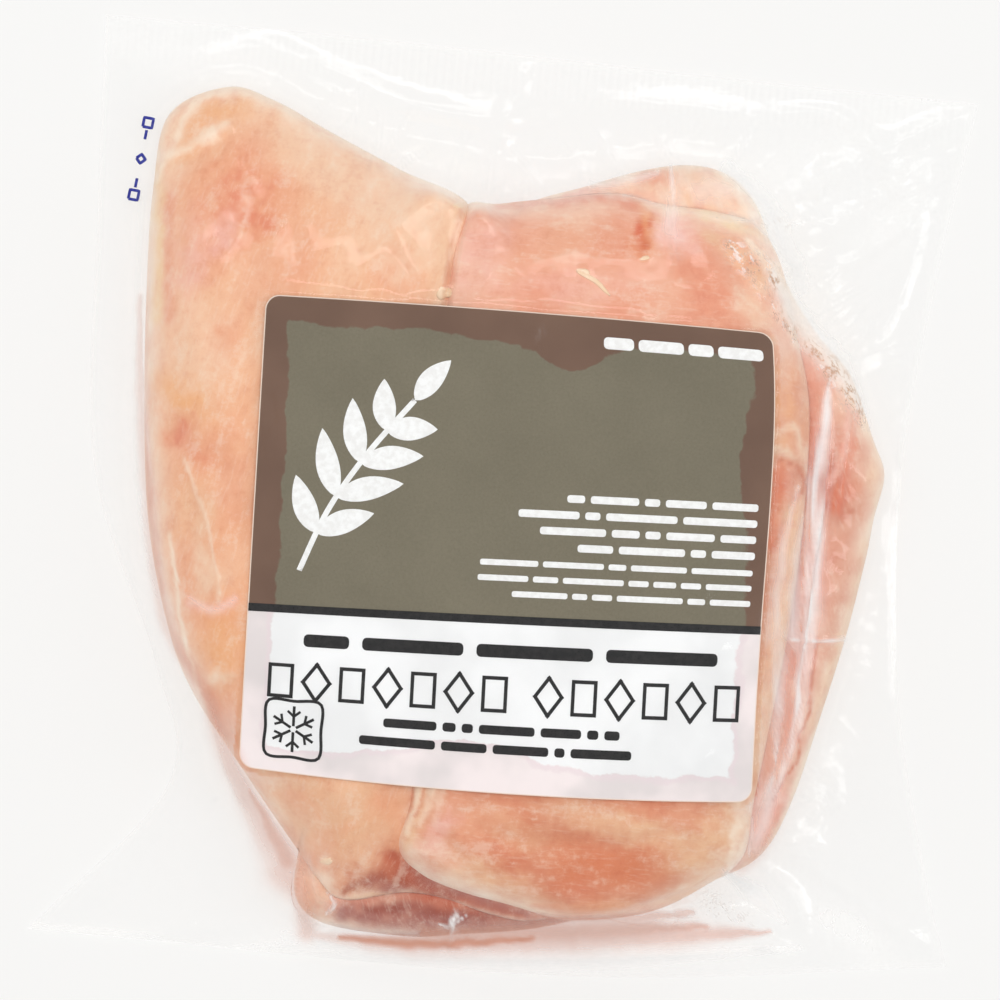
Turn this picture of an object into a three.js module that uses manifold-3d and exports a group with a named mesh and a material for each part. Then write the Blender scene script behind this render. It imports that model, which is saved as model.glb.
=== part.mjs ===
// A clear vacuum pack of raw chicken breasts, lying on its back with its paper label up.
//
// Sizes are millimetres. +X is the pack's right as the label is read, +Y its top edge, +Z up.
// The origin is the middle of the bag's rectangle, on the surface that the pack lies on.
//
// The sealed bag is one closed body: the film drawn tight over two breasts side by side and a third
// that shows beneath them, and a thin wavy margin of flat film all round. It lies on a flat patch.
// The label is a thin curved sheet that lies on the two front breasts and bridges their groove.

import * as THREE from "three";
import { mergeVertices } from "three/addons/utils/BufferGeometryUtils.js";
import Module from "manifold-3d";

// Each spoke joins a point on the meat's outline to the bag's own edge beyond it, clockwise from the
// tip of the left breast: meat x and y, bag x and y, how far the front breasts stand back from the
// meat's outline there, and whether the bag turns a sharp corner.
const SPOKES = [
  [-56.2, 81.6, -59.6, 95.4, 0, false],
  [-34.6, 74.0, -28.6, 92.6, 0, false],
  [-8.6, 59.6, 3.4, 89.2, 0, false],
  [11.4, 61.6, 27.4, 86.4, 0.5, false],
  [33.8, 66.6, 59.4, 82.9, 6.5, false],
  [52.4, 60.0, 96.0, 79.2, 6.5, true],
  [68.4, 30.2, 87.0, 41.2, 8, false],
  [76.6, 5.2, 80.4, 3.2, 14, false],
  [69.4, -36.8, 79.8, -38.8, 11, false],
  [55.6, -69.2, 85.0, -74.8, 5, false],
  [38.0, -82.4, 89.6, -95.2, 1, true],
  [-0.6, -88.2, 11.4, -96.9, 4, false],
  [-34.6, -85.2, -96.0, -87.4, 0, true],
  [-48.2, -70.8, -67.6, -58.0, 0, false],
  [-64.6, -35.8, -70.4, -33.0, 0, false],
  [-72.4, 11.2, -82.6, 6.0, 0, false],
  [-71.0, 57.2, -81.8, 57.2, 0, false],
  [-66.2, 77.2, -80.2, 97.2, 0, true],
];

// The groove where the two front breasts meet, from the top notch down and round under the right one.
const GROOVE = [
  [-5.0, 70.0],
  [-8.2, 60.2],
  [-11.4, 39.2],
  [-16.6, -20.8],
  [-19.6, -58.8],
  [-15.0, -75.2],
  [6.4, -84.2],
  [30.0, -92.0],
];
const GROOVE_HALF_WIDTH = 3.2;
const STEP_HALF_WIDTH = 6; // over which the right breast's foot steps down to the left one's
const GROOVE_DEPTH = 3.4; // at the open ends
const GROOVE_DEPTH_UNDER_LABEL = 0.7;

// Heights above the surface that the pack lies on.
const CROWN_TOP = 33.5; // the highest part of the front breasts
const CROWN_X = -2;
const CROWN_Y = -6;
const CROWN_FALL_X = 4.5; // how much lower the crown is this far to either side of its middle
const CROWN_REACH_X = 65;
const CROWN_FALL_Y = 3.0;
const CROWN_REACH_Y = 80;
const TIP_START = 40; // the breasts thin towards their upper tips from here up
const TIP_LENGTH = 42;
const TIP_DROP = 11;
const FOOT_START = -56; // and towards their lower ends from here down
const FOOT_LENGTH = 34;
const FOOT_DROP_RIGHT = 5;
const FOOT_DROP_LEFT = 13;
const BACK_TOP = 15.5; // the breast beneath, where it shows past the front ones
const RIM = 7.5; // where the film leaves the meat's side
const SEAM = 5; // middle of the film's margin beside the meat
const EDGE = 1.1; // middle of the film's margin far from the meat
const MARGIN_THICK = 0.8;

// Widths over which the sides round off.
const FRONT_EDGE = 21;
const BACK_EDGE = 9;
const UNDER_EDGE = 14;
const ROUND_POWER = 2.3;
const FILM_BLEND = 5; // the stretched film bridges inner corners over about this height
const SETTLE = 8; // the margin comes down from the seam over about this distance
const SINK = 1.2; // how far the underside is cut away to leave its flat patch

// Folds in the film: from x, y to x, y, its height and its half width.
const FOLDS = [
  [-56, 84, -50, 97, 2.4, 3.2],
  [-48, 90, 6, 70, 2.6, 4.0],
  [-8, 63, 2, 89, 2.2, 3.4],
  [10, 80, 62, 74, 2.0, 4.2],
  [58, 60, 90, 77, 3.6, 3.6],
  [66, 40, 86, 62, 2.6, 3.4],
  [62, 22, 58, -56, 2.2, 2.6],
  [57, -66, 84, -88, 3.0, 3.8],
  [44, -84, 60, -95, 1.8, 3.0],
  [-40, -84, -84, -87, 2.2, 3.2],
  [-12, -88, -16, -96, 1.6, 3.0],
  [-74, 60, -80, 20, 1.4, 2.4],
];

// The label: its corners from top left, clockwise, as it lies.
const LABEL_CORNERS = [
  [-47.0, 40.0],
  [54.0, 32.6],
  [50.4, -61.2],
  [-52.6, -53.4],
];
// How far the middles of its top and bottom edges bow outwards as it wraps over the meat.
const LABEL_BOW_TOP = 0.5;
const LABEL_BOW_BOTTOM = 1.7;
const LABEL_WIDTH = 101.5;
const LABEL_HEIGHT = 93;
const LABEL_CORNER_RADIUS = 2.8;
const LABEL_THICK = 0.4;
const LABEL_CLEARANCE = 0.45;

// How finely the surfaces are divided.
const SECTORS = 144;
const OUTLINE_STEPS = 10; // points of an outline between two spokes
const TOP_FRONT_RINGS = [0.16, 0.3, 0.43, 0.55, 0.65, 0.73, 0.8, 0.86, 0.91, 0.95, 0.98, 1];
const TOP_BACK_RINGS = [0.3, 0.6, 0.85, 1];
const TOP_MARGIN_RINGS = [0.14, 0.3, 0.48, 0.66, 0.83, 1];
const UNDER_FRONT_RINGS = [0.5, 0.8, 0.9, 0.96, 1];
const UNDER_BACK_RINGS = [0.5, 1];
const UNDER_MARGIN_RINGS = [0.2, 0.5, 1];
const LEAST_BACK_SHARE = 0.02; // room for the back rings where the front breasts reach the outline
const LABEL_COLUMNS = 26;
const LABEL_ROWS = 22;
const CORNER_ROWS = 3;

const MATERIALS = {
  pouch: new THREE.MeshStandardMaterial({ color: 0xf2b59a, roughness: 0.25, metalness: 0 }),
  label: new THREE.MeshStandardMaterial({ color: 0x77705d, roughness: 0.6, metalness: 0 }),
};

const wasm = await Module();
wasm.setup();

const clamp01 = (value) => Math.min(1, Math.max(0, value));
const mix = (a, b, share) => a + (b - a) * share;
const mixPoint = (a, b, share) => [mix(a[0], b[0], share), mix(a[1], b[1], share)];
const smooth = (value) => clamp01(value) ** 2 * (3 - 2 * clamp01(value));

// The larger of two heights, with the inner corner between them filled in.
function blendMax(a, b, reach) {
  const near = Math.max(reach - Math.abs(a - b), 0) / reach;
  return Math.max(a, b) + (near * near * reach) / 4;
}

// From 0 at the outline to 1 where the side has rounded over into the top.
function edgeRise(distance, width) {
  return (1 - (1 - clamp01(distance / width)) ** ROUND_POWER) ** (1 / ROUND_POWER);
}

// A smooth curve through points: each stretch leaves and arrives along its neighbours' chord, or
// straight along itself at a corner.
function smoothCurve(points, corners, closed, steps) {
  const count = points.length;
  const at = (i) => points[closed ? (i + count) % count : Math.min(count - 1, Math.max(0, i))];
  const isCorner = (i) => corners[(i + count) % count] ?? false;
  const curve = [];
  for (let i = 0; i < (closed ? count : count - 1); i++) {
    const [before, from, to, after] = [at(i - 1), at(i), at(i + 1), at(i + 2)];
    for (let k = 0; k < steps; k++) {
      const t = k / steps;
      const point = [0, 1].map((axis) => {
        const chord = to[axis] - from[axis];
        const leave = isCorner(i) ? chord : (to[axis] - before[axis]) / 2;
        const arrive = isCorner(i + 1) ? chord : (after[axis] - from[axis]) / 2;
        return (
          from[axis] * (2 * t ** 3 - 3 * t ** 2 + 1) +
          leave * (t ** 3 - 2 * t ** 2 + t) +
          to[axis] * (3 * t ** 2 - 2 * t ** 3) +
          arrive * (t ** 3 - t ** 2)
        );
      });
      curve.push(point);
    }
  }
  if (!closed) curve.push(points[count - 1]);
  return curve;
}

function nearestOnSegment(x, y, from, to) {
  const [dx, dy] = [to[0] - from[0], to[1] - from[1]];
  const share = clamp01(((x - from[0]) * dx + (y - from[1]) * dy) / (dx * dx + dy * dy || 1));
  return { share, distance: Math.hypot(x - from[0] - share * dx, y - from[1] - share * dy) };
}

// Distance from a closed outline, positive inside it.
function insideDistance(x, y, outline) {
  let nearest = Infinity;
  let inside = false;
  outline.forEach((from, i) => {
    const to = outline[(i + 1) % outline.length];
    nearest = Math.min(nearest, nearestOnSegment(x, y, from, to).distance);
    const crosses = from[1] > y !== to[1] > y;
    if (crosses && x < from[0] + ((y - from[1]) / (to[1] - from[1])) * (to[0] - from[0])) {
      inside = !inside;
    }
  });
  return inside ? nearest : -nearest;
}

// The front breasts' outline: the meat's outline moved in by each spoke's setback.
function frontOutlineOf(meat, setbacks) {
  const count = meat.length;
  return meat.map((point, i) => {
    const before = meat[(i + count - 1) % count];
    const after = meat[(i + 1) % count];
    const length = Math.hypot(after[0] - before[0], after[1] - before[1]);
    const inward = [(after[1] - before[1]) / length, (before[0] - after[0]) / length];
    return [point[0] + inward[0] * setbacks[i], point[1] + inward[1] * setbacks[i]];
  });
}

const corners = SPOKES.map((spoke) => spoke[5]);
const noCorners = SPOKES.map(() => false);
const meatPoints = SPOKES.map(([x, y]) => [x, y]);
const bagPoints = SPOKES.map(([, , x, y]) => [x, y]);
const setbackPoints = SPOKES.map((spoke) => [spoke[4], 0]);
const meatOutline = smoothCurve(meatPoints, noCorners, true, OUTLINE_STEPS);
const setbacks = smoothCurve(setbackPoints, noCorners, true, OUTLINE_STEPS).map(([value]) => value);
const frontOutline = frontOutlineOf(meatOutline, setbacks);
const groove = smoothCurve(GROOVE, [], false, OUTLINE_STEPS);

// Where a point stands by the groove: its distance, and whether it is on the right breast's side.
function besideGroove(x, y) {
  let nearest = { distance: Infinity };
  for (let i = 0; i + 1 < groove.length; i++) {
    const [from, to] = [groove[i], groove[i + 1]];
    const found = nearestOnSegment(x, y, from, to);
    if (found.distance < nearest.distance) {
      const turn = (to[0] - from[0]) * (y - from[1]) - (to[1] - from[1]) * (x - from[0]);
      nearest = { distance: found.distance, right: turn > 0 };
    }
  }
  return nearest;
}

// The film's top over the front breasts' middle, before their sides round off.
function crown(x, y) {
  const { distance, right } = besideGroove(x, y);
  const rightShare = smooth(0.5 + ((right ? 1 : -1) * distance) / (2 * STEP_HALF_WIDTH));
  const footDrop = mix(FOOT_DROP_LEFT, FOOT_DROP_RIGHT, rightShare);
  return (
    CROWN_TOP -
    CROWN_FALL_X * ((x - CROWN_X) / CROWN_REACH_X) ** 2 -
    CROWN_FALL_Y * ((y - CROWN_Y) / CROWN_REACH_Y) ** 2 -
    TIP_DROP * smooth((y - TIP_START) / TIP_LENGTH) -
    footDrop * smooth((FOOT_START - y) / FOOT_LENGTH)
  );
}

// The height of the film's folds above the margin or the meat.
function foldHeight(x, y) {
  let height = 0;
  for (const [fromX, fromY, toX, toY, rise, halfWidth] of FOLDS) {
    const { share, distance } = nearestOnSegment(x, y, [fromX, fromY], [toX, toY]);
    const ends = Math.sin(Math.PI * mix(0.12, 0.88, share));
    height += rise * ends * Math.exp(-((distance / halfWidth) ** 2));
  }
  return height;
}

function marginMiddle(x, y, meatDistance) {
  return EDGE + (SEAM - EDGE) * Math.exp(Math.min(0, meatDistance) / SETTLE) + foldHeight(x, y);
}

// The height of a body that stands on the rim: outside its outline it falls away steeply.
function bodyHeight(distance, top, width) {
  return distance < 0 ? RIM + 3 * distance : RIM + (top - RIM) * edgeRise(distance, width);
}

// The film's top as the label feels it, with the groove bridged.
function bridgedTop(x, y) {
  const meatDistance = insideDistance(x, y, meatOutline);
  const front = bodyHeight(insideDistance(x, y, frontOutline), crown(x, y), FRONT_EDGE);
  const back = bodyHeight(meatDistance, BACK_TOP, BACK_EDGE);
  const margin = marginMiddle(x, y, meatDistance) + MARGIN_THICK / 2;
  return blendMax(blendMax(front, back, FILM_BLEND), margin, FILM_BLEND);
}

function grooveDip(x, y) {
  const underLabel = smooth((TIP_START + 4 - y) / 10) * smooth((y - FOOT_START + 4) / 10);
  const depth = mix(GROOVE_DEPTH, GROOVE_DEPTH_UNDER_LABEL, underLabel);
  const inside = smooth(insideDistance(x, y, frontOutline) / BACK_EDGE);
  return depth * inside * Math.exp(-((besideGroove(x, y).distance / GROOVE_HALF_WIDTH) ** 2));
}

const pouchTop = (x, y) => bridgedTop(x, y) - grooveDip(x, y);

// The underside: the margin's lower face, then down over the rounded edge to below the resting plane.
function pouchUnder(x, y) {
  const distance = insideDistance(x, y, meatOutline);
  const margin = marginMiddle(x, y, distance) - MARGIN_THICK / 2;
  return distance < 0 ? margin : mix(margin, -SINK, edgeRise(distance, UNDER_EDGE));
}

function geometryOf(positions, triangles) {
  const geometry = new THREE.BufferGeometry();
  geometry.setAttribute("position", new THREE.Float32BufferAttribute(positions.flat(), 3));
  geometry.setIndex(triangles.flat());
  return geometry;
}

// One face of the bag: rings from a middle point out to the front breasts' outline, on over the
// breast beneath to the meat's outline, then to the bag's edge.
function bagFace(frontRings, backRings, marginRings, heightAt) {
  const perSpoke = SECTORS / SPOKES.length;
  const meat = smoothCurve(meatPoints, noCorners, true, perSpoke);
  const bag = smoothCurve(bagPoints, corners, true, perSpoke);
  const setback = smoothCurve(setbackPoints, noCorners, true, perSpoke);
  const middle = [CROWN_X, CROWN_Y];
  const front = meat.map((point, i) => {
    const reach = Math.hypot(point[0] - middle[0], point[1] - middle[1]);
    return mixPoint(point, middle, Math.max(LEAST_BACK_SHARE, setback[i][0] / reach));
  });
  const rings = [
    ...frontRings.map((share) => front.map((point) => mixPoint(middle, point, share))),
    ...backRings.map((share) => front.map((point, i) => mixPoint(point, meat[i], share))),
    ...marginRings.map((share) => meat.map((point, i) => mixPoint(point, bag[i], share))),
  ];
  const raise = ([x, y]) => [x, y, heightAt(x, y)];
  return { middle: raise(middle), rings: rings.map((ring) => ring.map(raise)) };
}

// The bag as a closed mesh: its top and underside faces, joined at the bag's edge.
function bagGeometry() {
  const positions = [];
  const triangles = [];
  const addFace = (face, flip) => {
    const add = (a, b, c) => triangles.push(flip ? [a, c, b] : [a, b, c]);
    const first = positions.length;
    positions.push(face.middle, ...face.rings.flat());
    const at = (ring, i) => first + 1 + ring * SECTORS + (i % SECTORS);
    for (let i = 0; i < SECTORS; i++) {
      add(first, at(0, i + 1), at(0, i));
      for (let ring = 0; ring + 1 < face.rings.length; ring++) {
        add(at(ring, i), at(ring, i + 1), at(ring + 1, i + 1));
        add(at(ring, i), at(ring + 1, i + 1), at(ring + 1, i));
      }
    }
    return (i) => at(face.rings.length - 1, i);
  };
  const top = bagFace(TOP_FRONT_RINGS, TOP_BACK_RINGS, TOP_MARGIN_RINGS, pouchTop);
  const under = bagFace(UNDER_FRONT_RINGS, UNDER_BACK_RINGS, UNDER_MARGIN_RINGS, pouchUnder);
  const topEdge = addFace(top, false);
  const underEdge = addFace(under, true);
  for (let i = 0; i < SECTORS; i++) {
    triangles.push([topEdge(i), topEdge(i + 1), underEdge(i + 1)]);
    triangles.push([topEdge(i), underEdge(i + 1), underEdge(i)]);
  }
  return geometryOf(positions, triangles);
}

function toSolid(geometry) {
  const plain = new THREE.BufferGeometry().setAttribute("position", geometry.getAttribute("position"));
  if (geometry.index) plain.setIndex(geometry.index);
  const merged = mergeVertices(plain, 1e-4);
  const vertProperties = new Float32Array(merged.attributes.position.array);
  const triVerts = new Uint32Array(merged.index.array);
  return new wasm.Manifold(new wasm.Mesh({ numProp: 3, vertProperties, triVerts }));
}

function toGeometry(solid) {
  const mesh = solid.getMesh();
  const positions = [];
  for (let i = 0; i < mesh.numVert; i++) {
    positions.push([...mesh.vertProperties.slice(i * mesh.numProp, i * mesh.numProp + 3)]);
  }
  return geometryOf(positions, [[...mesh.triVerts]]);
}

// The bag with everything below the resting plane cut away, which leaves its flat patch.
function pouchGeometry() {
  const size = 300;
  const below = new THREE.BoxGeometry(size, size, size);
  below.deleteAttribute("normal");
  below.deleteAttribute("uv");
  below.translate(0, 0, -size / 2);
  return toGeometry(toSolid(bagGeometry()).subtract(toSolid(below)));
}

// Rows across the label, closer together where its corners round off, each with its half width.
function labelRows() {
  const straight = LABEL_HEIGHT / 2 - LABEL_CORNER_RADIUS;
  const rows = [];
  for (let k = 0; k <= LABEL_ROWS; k++) {
    rows.push([mix(-straight, straight, k / LABEL_ROWS), LABEL_WIDTH / 2]);
  }
  for (let k = 1; k <= CORNER_ROWS; k++) {
    const angle = ((Math.PI / 2) * k) / CORNER_ROWS;
    const halfWidth = LABEL_WIDTH / 2 - LABEL_CORNER_RADIUS * (1 - Math.cos(angle));
    const reach = straight + LABEL_CORNER_RADIUS * Math.sin(angle);
    rows.push([reach, halfWidth]);
    rows.unshift([-reach, halfWidth]);
  }
  return rows;
}

// A place on the label, from its own middle, as it lies between its four corners.
function labelPlace(across, up) {
  const [topLeft, topRight, lowRight, lowLeft] = LABEL_CORNERS;
  const [u, v] = [across / LABEL_WIDTH + 0.5, 0.5 - up / LABEL_HEIGHT];
  const [x, y] = mixPoint(mixPoint(topLeft, topRight, u), mixPoint(lowLeft, lowRight, u), v);
  const bow = LABEL_BOW_TOP * (1 - v) ** 2 - LABEL_BOW_BOTTOM * v ** 4;
  return [x, y + 4 * u * (1 - u) * bow];
}

function labelGeometry() {
  const rows = labelRows();
  const positions = [];
  const triangles = [];
  const perFace = rows.length * (LABEL_COLUMNS + 1);
  for (const lift of [LABEL_CLEARANCE + LABEL_THICK, LABEL_CLEARANCE]) {
    for (const [up, halfWidth] of rows) {
      for (let column = 0; column <= LABEL_COLUMNS; column++) {
        const [x, y] = labelPlace(mix(-halfWidth, halfWidth, column / LABEL_COLUMNS), up);
        positions.push([x, y, bridgedTop(x, y) + lift]);
      }
    }
  }
  const at = (row, column) => row * (LABEL_COLUMNS + 1) + column;
  const wall = (a, b) => triangles.push([a, a + perFace, b], [b, a + perFace, b + perFace]);
  for (let row = 0; row + 1 < rows.length; row++) {
    for (let column = 0; column < LABEL_COLUMNS; column++) {
      const [a, b] = [at(row, column), at(row, column + 1)];
      const [c, d] = [at(row + 1, column + 1), at(row + 1, column)];
      triangles.push([a, b, c], [a, c, d]);
      triangles.push([a + perFace, c + perFace, b + perFace], [a + perFace, d + perFace, c + perFace]);
    }
    wall(at(row, LABEL_COLUMNS), at(row + 1, LABEL_COLUMNS));
    wall(at(row + 1, 0), at(row, 0));
  }
  for (let column = 0; column < LABEL_COLUMNS; column++) {
    wall(at(0, column), at(0, column + 1));
    wall(at(rows.length - 1, column + 1), at(rows.length - 1, column));
  }
  return geometryOf(positions, triangles);
}

function namedMesh(name, geometry) {
  const mesh = new THREE.Mesh(geometry, MATERIALS[name]);
  mesh.name = name;
  return mesh;
}

const pack = new THREE.Group();
pack.add(namedMesh("pouch", pouchGeometry()), namedMesh("label", labelGeometry()));

export default pack;
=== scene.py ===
import math

import bpy
import numpy as np
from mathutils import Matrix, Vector


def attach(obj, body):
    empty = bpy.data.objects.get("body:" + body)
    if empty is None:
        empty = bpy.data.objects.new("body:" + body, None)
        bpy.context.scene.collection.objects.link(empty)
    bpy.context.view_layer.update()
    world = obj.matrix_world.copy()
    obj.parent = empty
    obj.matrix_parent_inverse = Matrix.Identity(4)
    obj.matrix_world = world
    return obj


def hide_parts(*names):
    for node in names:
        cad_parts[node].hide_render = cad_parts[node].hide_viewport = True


# A clear vacuum pack of raw chicken breasts with a paper label inside, lying on its back.
#
# Shapes are worked out in millimetres, in the part's frame: +X right and +Y up as the label is read,
# +Z up from the floor. Two breasts lie side by side and partly on a third piece, the label lies on those
# two, and the film is a sheet that sags onto them under tension and is gathered into folds round them.

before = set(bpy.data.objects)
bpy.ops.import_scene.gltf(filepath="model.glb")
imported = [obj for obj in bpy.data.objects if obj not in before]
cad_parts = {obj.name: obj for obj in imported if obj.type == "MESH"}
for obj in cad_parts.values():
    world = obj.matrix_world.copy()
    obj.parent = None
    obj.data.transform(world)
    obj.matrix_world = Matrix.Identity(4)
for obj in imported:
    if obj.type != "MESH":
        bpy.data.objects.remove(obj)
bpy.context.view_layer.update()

MM = 0.001
SEED = 20

# Outlines, in millimetres

# The bag's edge, clockwise from its top left corner.
BAG = [
    (-80.2, 97.2), (-59.6, 95.4), (-28.6, 92.6), (3.4, 89.2), (27.4, 86.4), (59.4, 82.9), (96, 79.2),
    (87, 41.2), (80.4, 3.2), (79.8, -38.8), (85, -74.8), (89.6, -95.2), (11.4, -96.9), (-96, -87.4),
    (-67.6, -58), (-70.4, -33), (-82.6, 6), (-81.8, 57.2),
]
BAG_CORNERS = (0, 6, 11, 13)

# Each piece of meat, clockwise from its top left, and the four points that its sides run between.
LEFT_BREAST = [
    (-67.4, 77), (-55.6, 82.6), (-46, 79.8), (-34.6, 73.4), (-20.6, 65.8), (-6.2, 57.6), (-9.6, 39.2),
    (-13.8, -20.8), (-15.4, -54.8), (-13.4, -68), (-6, -75.4), (2, -79.6), (9.4, -84.4), (4, -85.6),
    (-4, -83.8), (-12.4, -80.9), (-20.6, -79.8), (-32, -81.2), (-38, -76), (-52.2, -55.6), (-63, -38.8),
    (-68, -24.8), (-71.6, -4.8), (-72.4, 19.2), (-71.8, 45), (-70.6, 62),
]
LEFT_CORNERS = (0, 5, 12, 18)
RIGHT_BREAST = [
    (-8.2, 57.6), (-0.6, 59), (11.4, 60.2), (22.6, 61), (32, 58.8), (42, 57.4), (51, 54.6), (56, 47),
    (59, 33), (61.6, 19.2), (61.2, 3.2), (59.6, -12.8), (57.2, -28.8), (54, -44.8), (50.6, -60.8),
    (48.4, -72.4), (41.6, -78.2), (29.4, -84), (14, -85.6), (1.8, -82.5), (-8.6, -79.6), (-16.8, -76),
    (-21.8, -70.2), (-20.6, -58.8), (-18.2, -20.8), (-12.8, 39.2),
]
RIGHT_CORNERS = (0, 6, 15, 22)
UNDER_BREAST = [
    (2, 56), (17.8, 62.8), (33.4, 66.6), (43.8, 65.6), (50.4, 60), (54.4, 50.4), (58.2, 41), (63.8, 32.2),
    (70.2, 24.2), (74.8, 11.2), (77, 4.2), (74.9, -4.4), (73.2, -12.8), (69.2, -28.4), (64, -44.8),
    (58.4, -61.4), (52.6, -71.8), (44, -77), (28, -82), (8, -87), (-8, -88.4), (-20, -88.8), (-38, -85.4),
    (-42, -76), (-34, -60), (0, -40), (10, 0), (6, 36),
]
UNDER_CORNERS = (0, 4, 17, 23)

# Where the two front breasts meet, and on round under the right one's foot.
GROOVE = [
    (-5, 70), (-8.2, 60.2), (-11.4, 39.2), (-16.6, -20.8), (-19.6, -58.8), (-19.4, -70), (-14.4, -77),
    (6.4, -83.2), (30, -92),
]

# Heights and widths of the meat, in millimetres

CROWN_TOP = 33.2
CROWN_X, CROWN_Y = -2.0, -6.0
CROWN_FALL_X, CROWN_REACH_X = 4.5, 65.0
CROWN_FALL_Y, CROWN_REACH_Y = 3.0, 80.0
TIP_START, TIP_LENGTH, TIP_DROP = 40.0, 42.0, 11.0
FOOT_START, FOOT_LENGTH = -56.0, 34.0
LIP_START = -52.0        # below here the right breast's foot is a lip that lies over the left one's
FOOT_DROP_RIGHT, FOOT_DROP_LEFT = 5.0, 13.0
UNDER_TOP = 15.2         # height of the third piece
RIM = 5.6                # where the top and the underside of a piece of meat meet
REST_GAP = 0.12          # between a front breast and the one it lies on
FRONT_EDGE = 19.0        # over which a front breast's side rounds over into its top,
GROOVE_EDGE, LIP_EDGE = 3.2, 4.0    # the same along the groove and along the lip,
UNDER_EDGE = 9.0         # and for the third piece
GROOVE_DEPTH, GROOVE_WIDTH = 1.5, 4.0    # the soft hollow along the groove
WEB_DEPTH, WEB_WIDTH, WEB_START = 1.6, 2.6, -48.0    # above here the two breasts cling together in it
BELLY_EDGE = 12.0        # over which the underside curves up to the rim
BELLY = 0.5              # height of the underside where it bears on the back film
ROUND_POWER = 2.3        # 2 rounds the sides like an ellipse, and more is squarer

# The film

SEAM, EDGE, SETTLE = 5.0, 1.1, 8.0    # the margin's height at the meat and at the edge, and its fall
FILM_GAP = 0.16          # film above what it touches
PLY_GAP = 0.1            # half the distance between the two sheets in the margin
BRIDGE_RADIUS = 3.6      # how tightly the film bends into a hollow
BACK_STEP = 3            # the back sheet keeps every third line of the front one's grid
FILM_LINES = 313         # lines of the front sheet's grid each way, one more than a multiple of 3
FILM_PITCH = 190 / (FILM_LINES - 1)
FILM_STEPS = 420         # rounds in which it sinks onto what it covers
BACK_LIFT = 0.3          # least height of the back sheet under the meat
SEAL_WIDTH, SEAL_RIB = 8.0, 1.6    # the seal along the top edge and the spacing of its ribs

# The label: its corners as it lies, from top left, clockwise, and its sizes

LABEL_CORNERS = np.array([(-47.4, 40.4), (54.0, 32.6), (49.8, -61.4), (-53.0, -54.2)])
LABEL_BOW_TOP, LABEL_BOW_BOTTOM = 0.5, 1.7    # how far the middles of its long edges bow outwards
LABEL_BOW_RIGHT = 1.3    # and its right edge, most of all a quarter of the way down
BOW_SCALE = 9.5          # makes that bow's largest value 1
LABEL_TWIST = 0.03       # how much higher its right half is drawn up than its left
LABEL_WIDTH, LABEL_HEIGHT = 101.5, 93.0
LABEL_RADIUS = 2.8
LABEL_THICK = 0.16
LABEL_LIFT = 0.4         # above the meat
PRINT_ROOM = 0.1         # for the print, between the label and the film
LABEL_BEND = 110.0       # how tightly the paper bends
LABEL_PITCH = 0.6
LABEL_STEPS = 500        # rounds in which it sinks onto the meat
LABEL_REACH = 0.9        # the film stays over the label this far past its edge
BAND_UP = -13.5          # height on the label, from its middle, where the dark field ends


def srgb(red, green, blue):
    """A colour picked in 0-255 steps, as the linear values that shaders take."""
    steps = np.array([red, green, blue]) / 255
    linear = np.where(steps <= 0.04045, steps / 12.92, ((steps + 0.055) / 1.055) ** 2.4)
    return (*linear.tolist(), 1.0)


# Plane geometry

def mix(a, b, share):
    return a + (b - a) * share


def smooth(value):
    t = np.clip(value, 0, 1)
    return t * t * (3 - 2 * t)


def bell(distance, width):
    return np.exp(-((distance / width) ** 2))


def turned(x, y, angle):
    """A place turned about the origin, by an angle in radians."""
    return x * math.cos(angle) - y * math.sin(angle), x * math.sin(angle) + y * math.cos(angle)


def smooth_curve(points, corners=(), closed=True, steps=7):
    """A curve through points; each stretch follows its neighbours' chords, or itself at a corner."""
    points = np.asarray(points, float)
    count = len(points)
    curve = []
    for i in range(count if closed else count - 1):
        around = np.arange(i - 1, i + 3)
        around = around % count if closed else np.clip(around, 0, count - 1)
        before, start, end, after = points[around]
        leave = end - start if i in corners else (end - before) / 2
        arrive = end - start if (i + 1) % count in corners else (after - start) / 2
        for t in np.arange(steps) / steps:
            curve.append(
                start * (2 * t**3 - 3 * t**2 + 1) + leave * (t**3 - 2 * t**2 + t)
                + end * (3 * t**2 - 2 * t**3) + arrive * (t**3 - t**2)
            )
    if not closed:
        curve.append(points[-1])
    return np.array(curve)


def nearest(x, y, line, closed=False):
    """Distance to a polyline, how far along it that is from 0 to 1, and the side: above 0 is left."""
    start = line if closed else line[:-1]
    step = (np.roll(line, -1, axis=0) - line) if closed else np.diff(line, axis=0)
    length = np.hypot(step[:, 0], step[:, 1])
    travelled = np.concatenate([[0], np.cumsum(length)])
    best = np.full(np.shape(x), np.inf)
    along = np.zeros(np.shape(x))
    side = np.zeros(np.shape(x))
    for i, (a, b) in enumerate(zip(start, step)):
        dx, dy = x - a[0], y - a[1]
        share = np.clip((dx * b[0] + dy * b[1]) / max(length[i] ** 2, 1e-12), 0, 1)
        distance = (dx - share * b[0]) ** 2 + (dy - share * b[1]) ** 2
        closer = distance < best
        best = np.where(closer, distance, best)
        along = np.where(closer, travelled[i] + share * length[i], along)
        side = np.where(closer, b[0] * dy - b[1] * dx, side)
    return np.sqrt(best), along / travelled[-1], side


def inside_distance(x, y, outline):
    """Distance from a closed outline, positive inside it."""
    inside = np.zeros(np.shape(x), bool)
    for a, b in zip(outline, np.roll(outline, -1, axis=0)):
        if a[1] != b[1]:
            crosses = (a[1] > y) != (b[1] > y)
            inside ^= crosses & (x < a[0] + (y - a[1]) / (b[1] - a[1]) * (b[0] - a[0]))
    distance = nearest(x, y, outline, closed=True)[0]
    return np.where(inside, distance, -distance)


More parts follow.
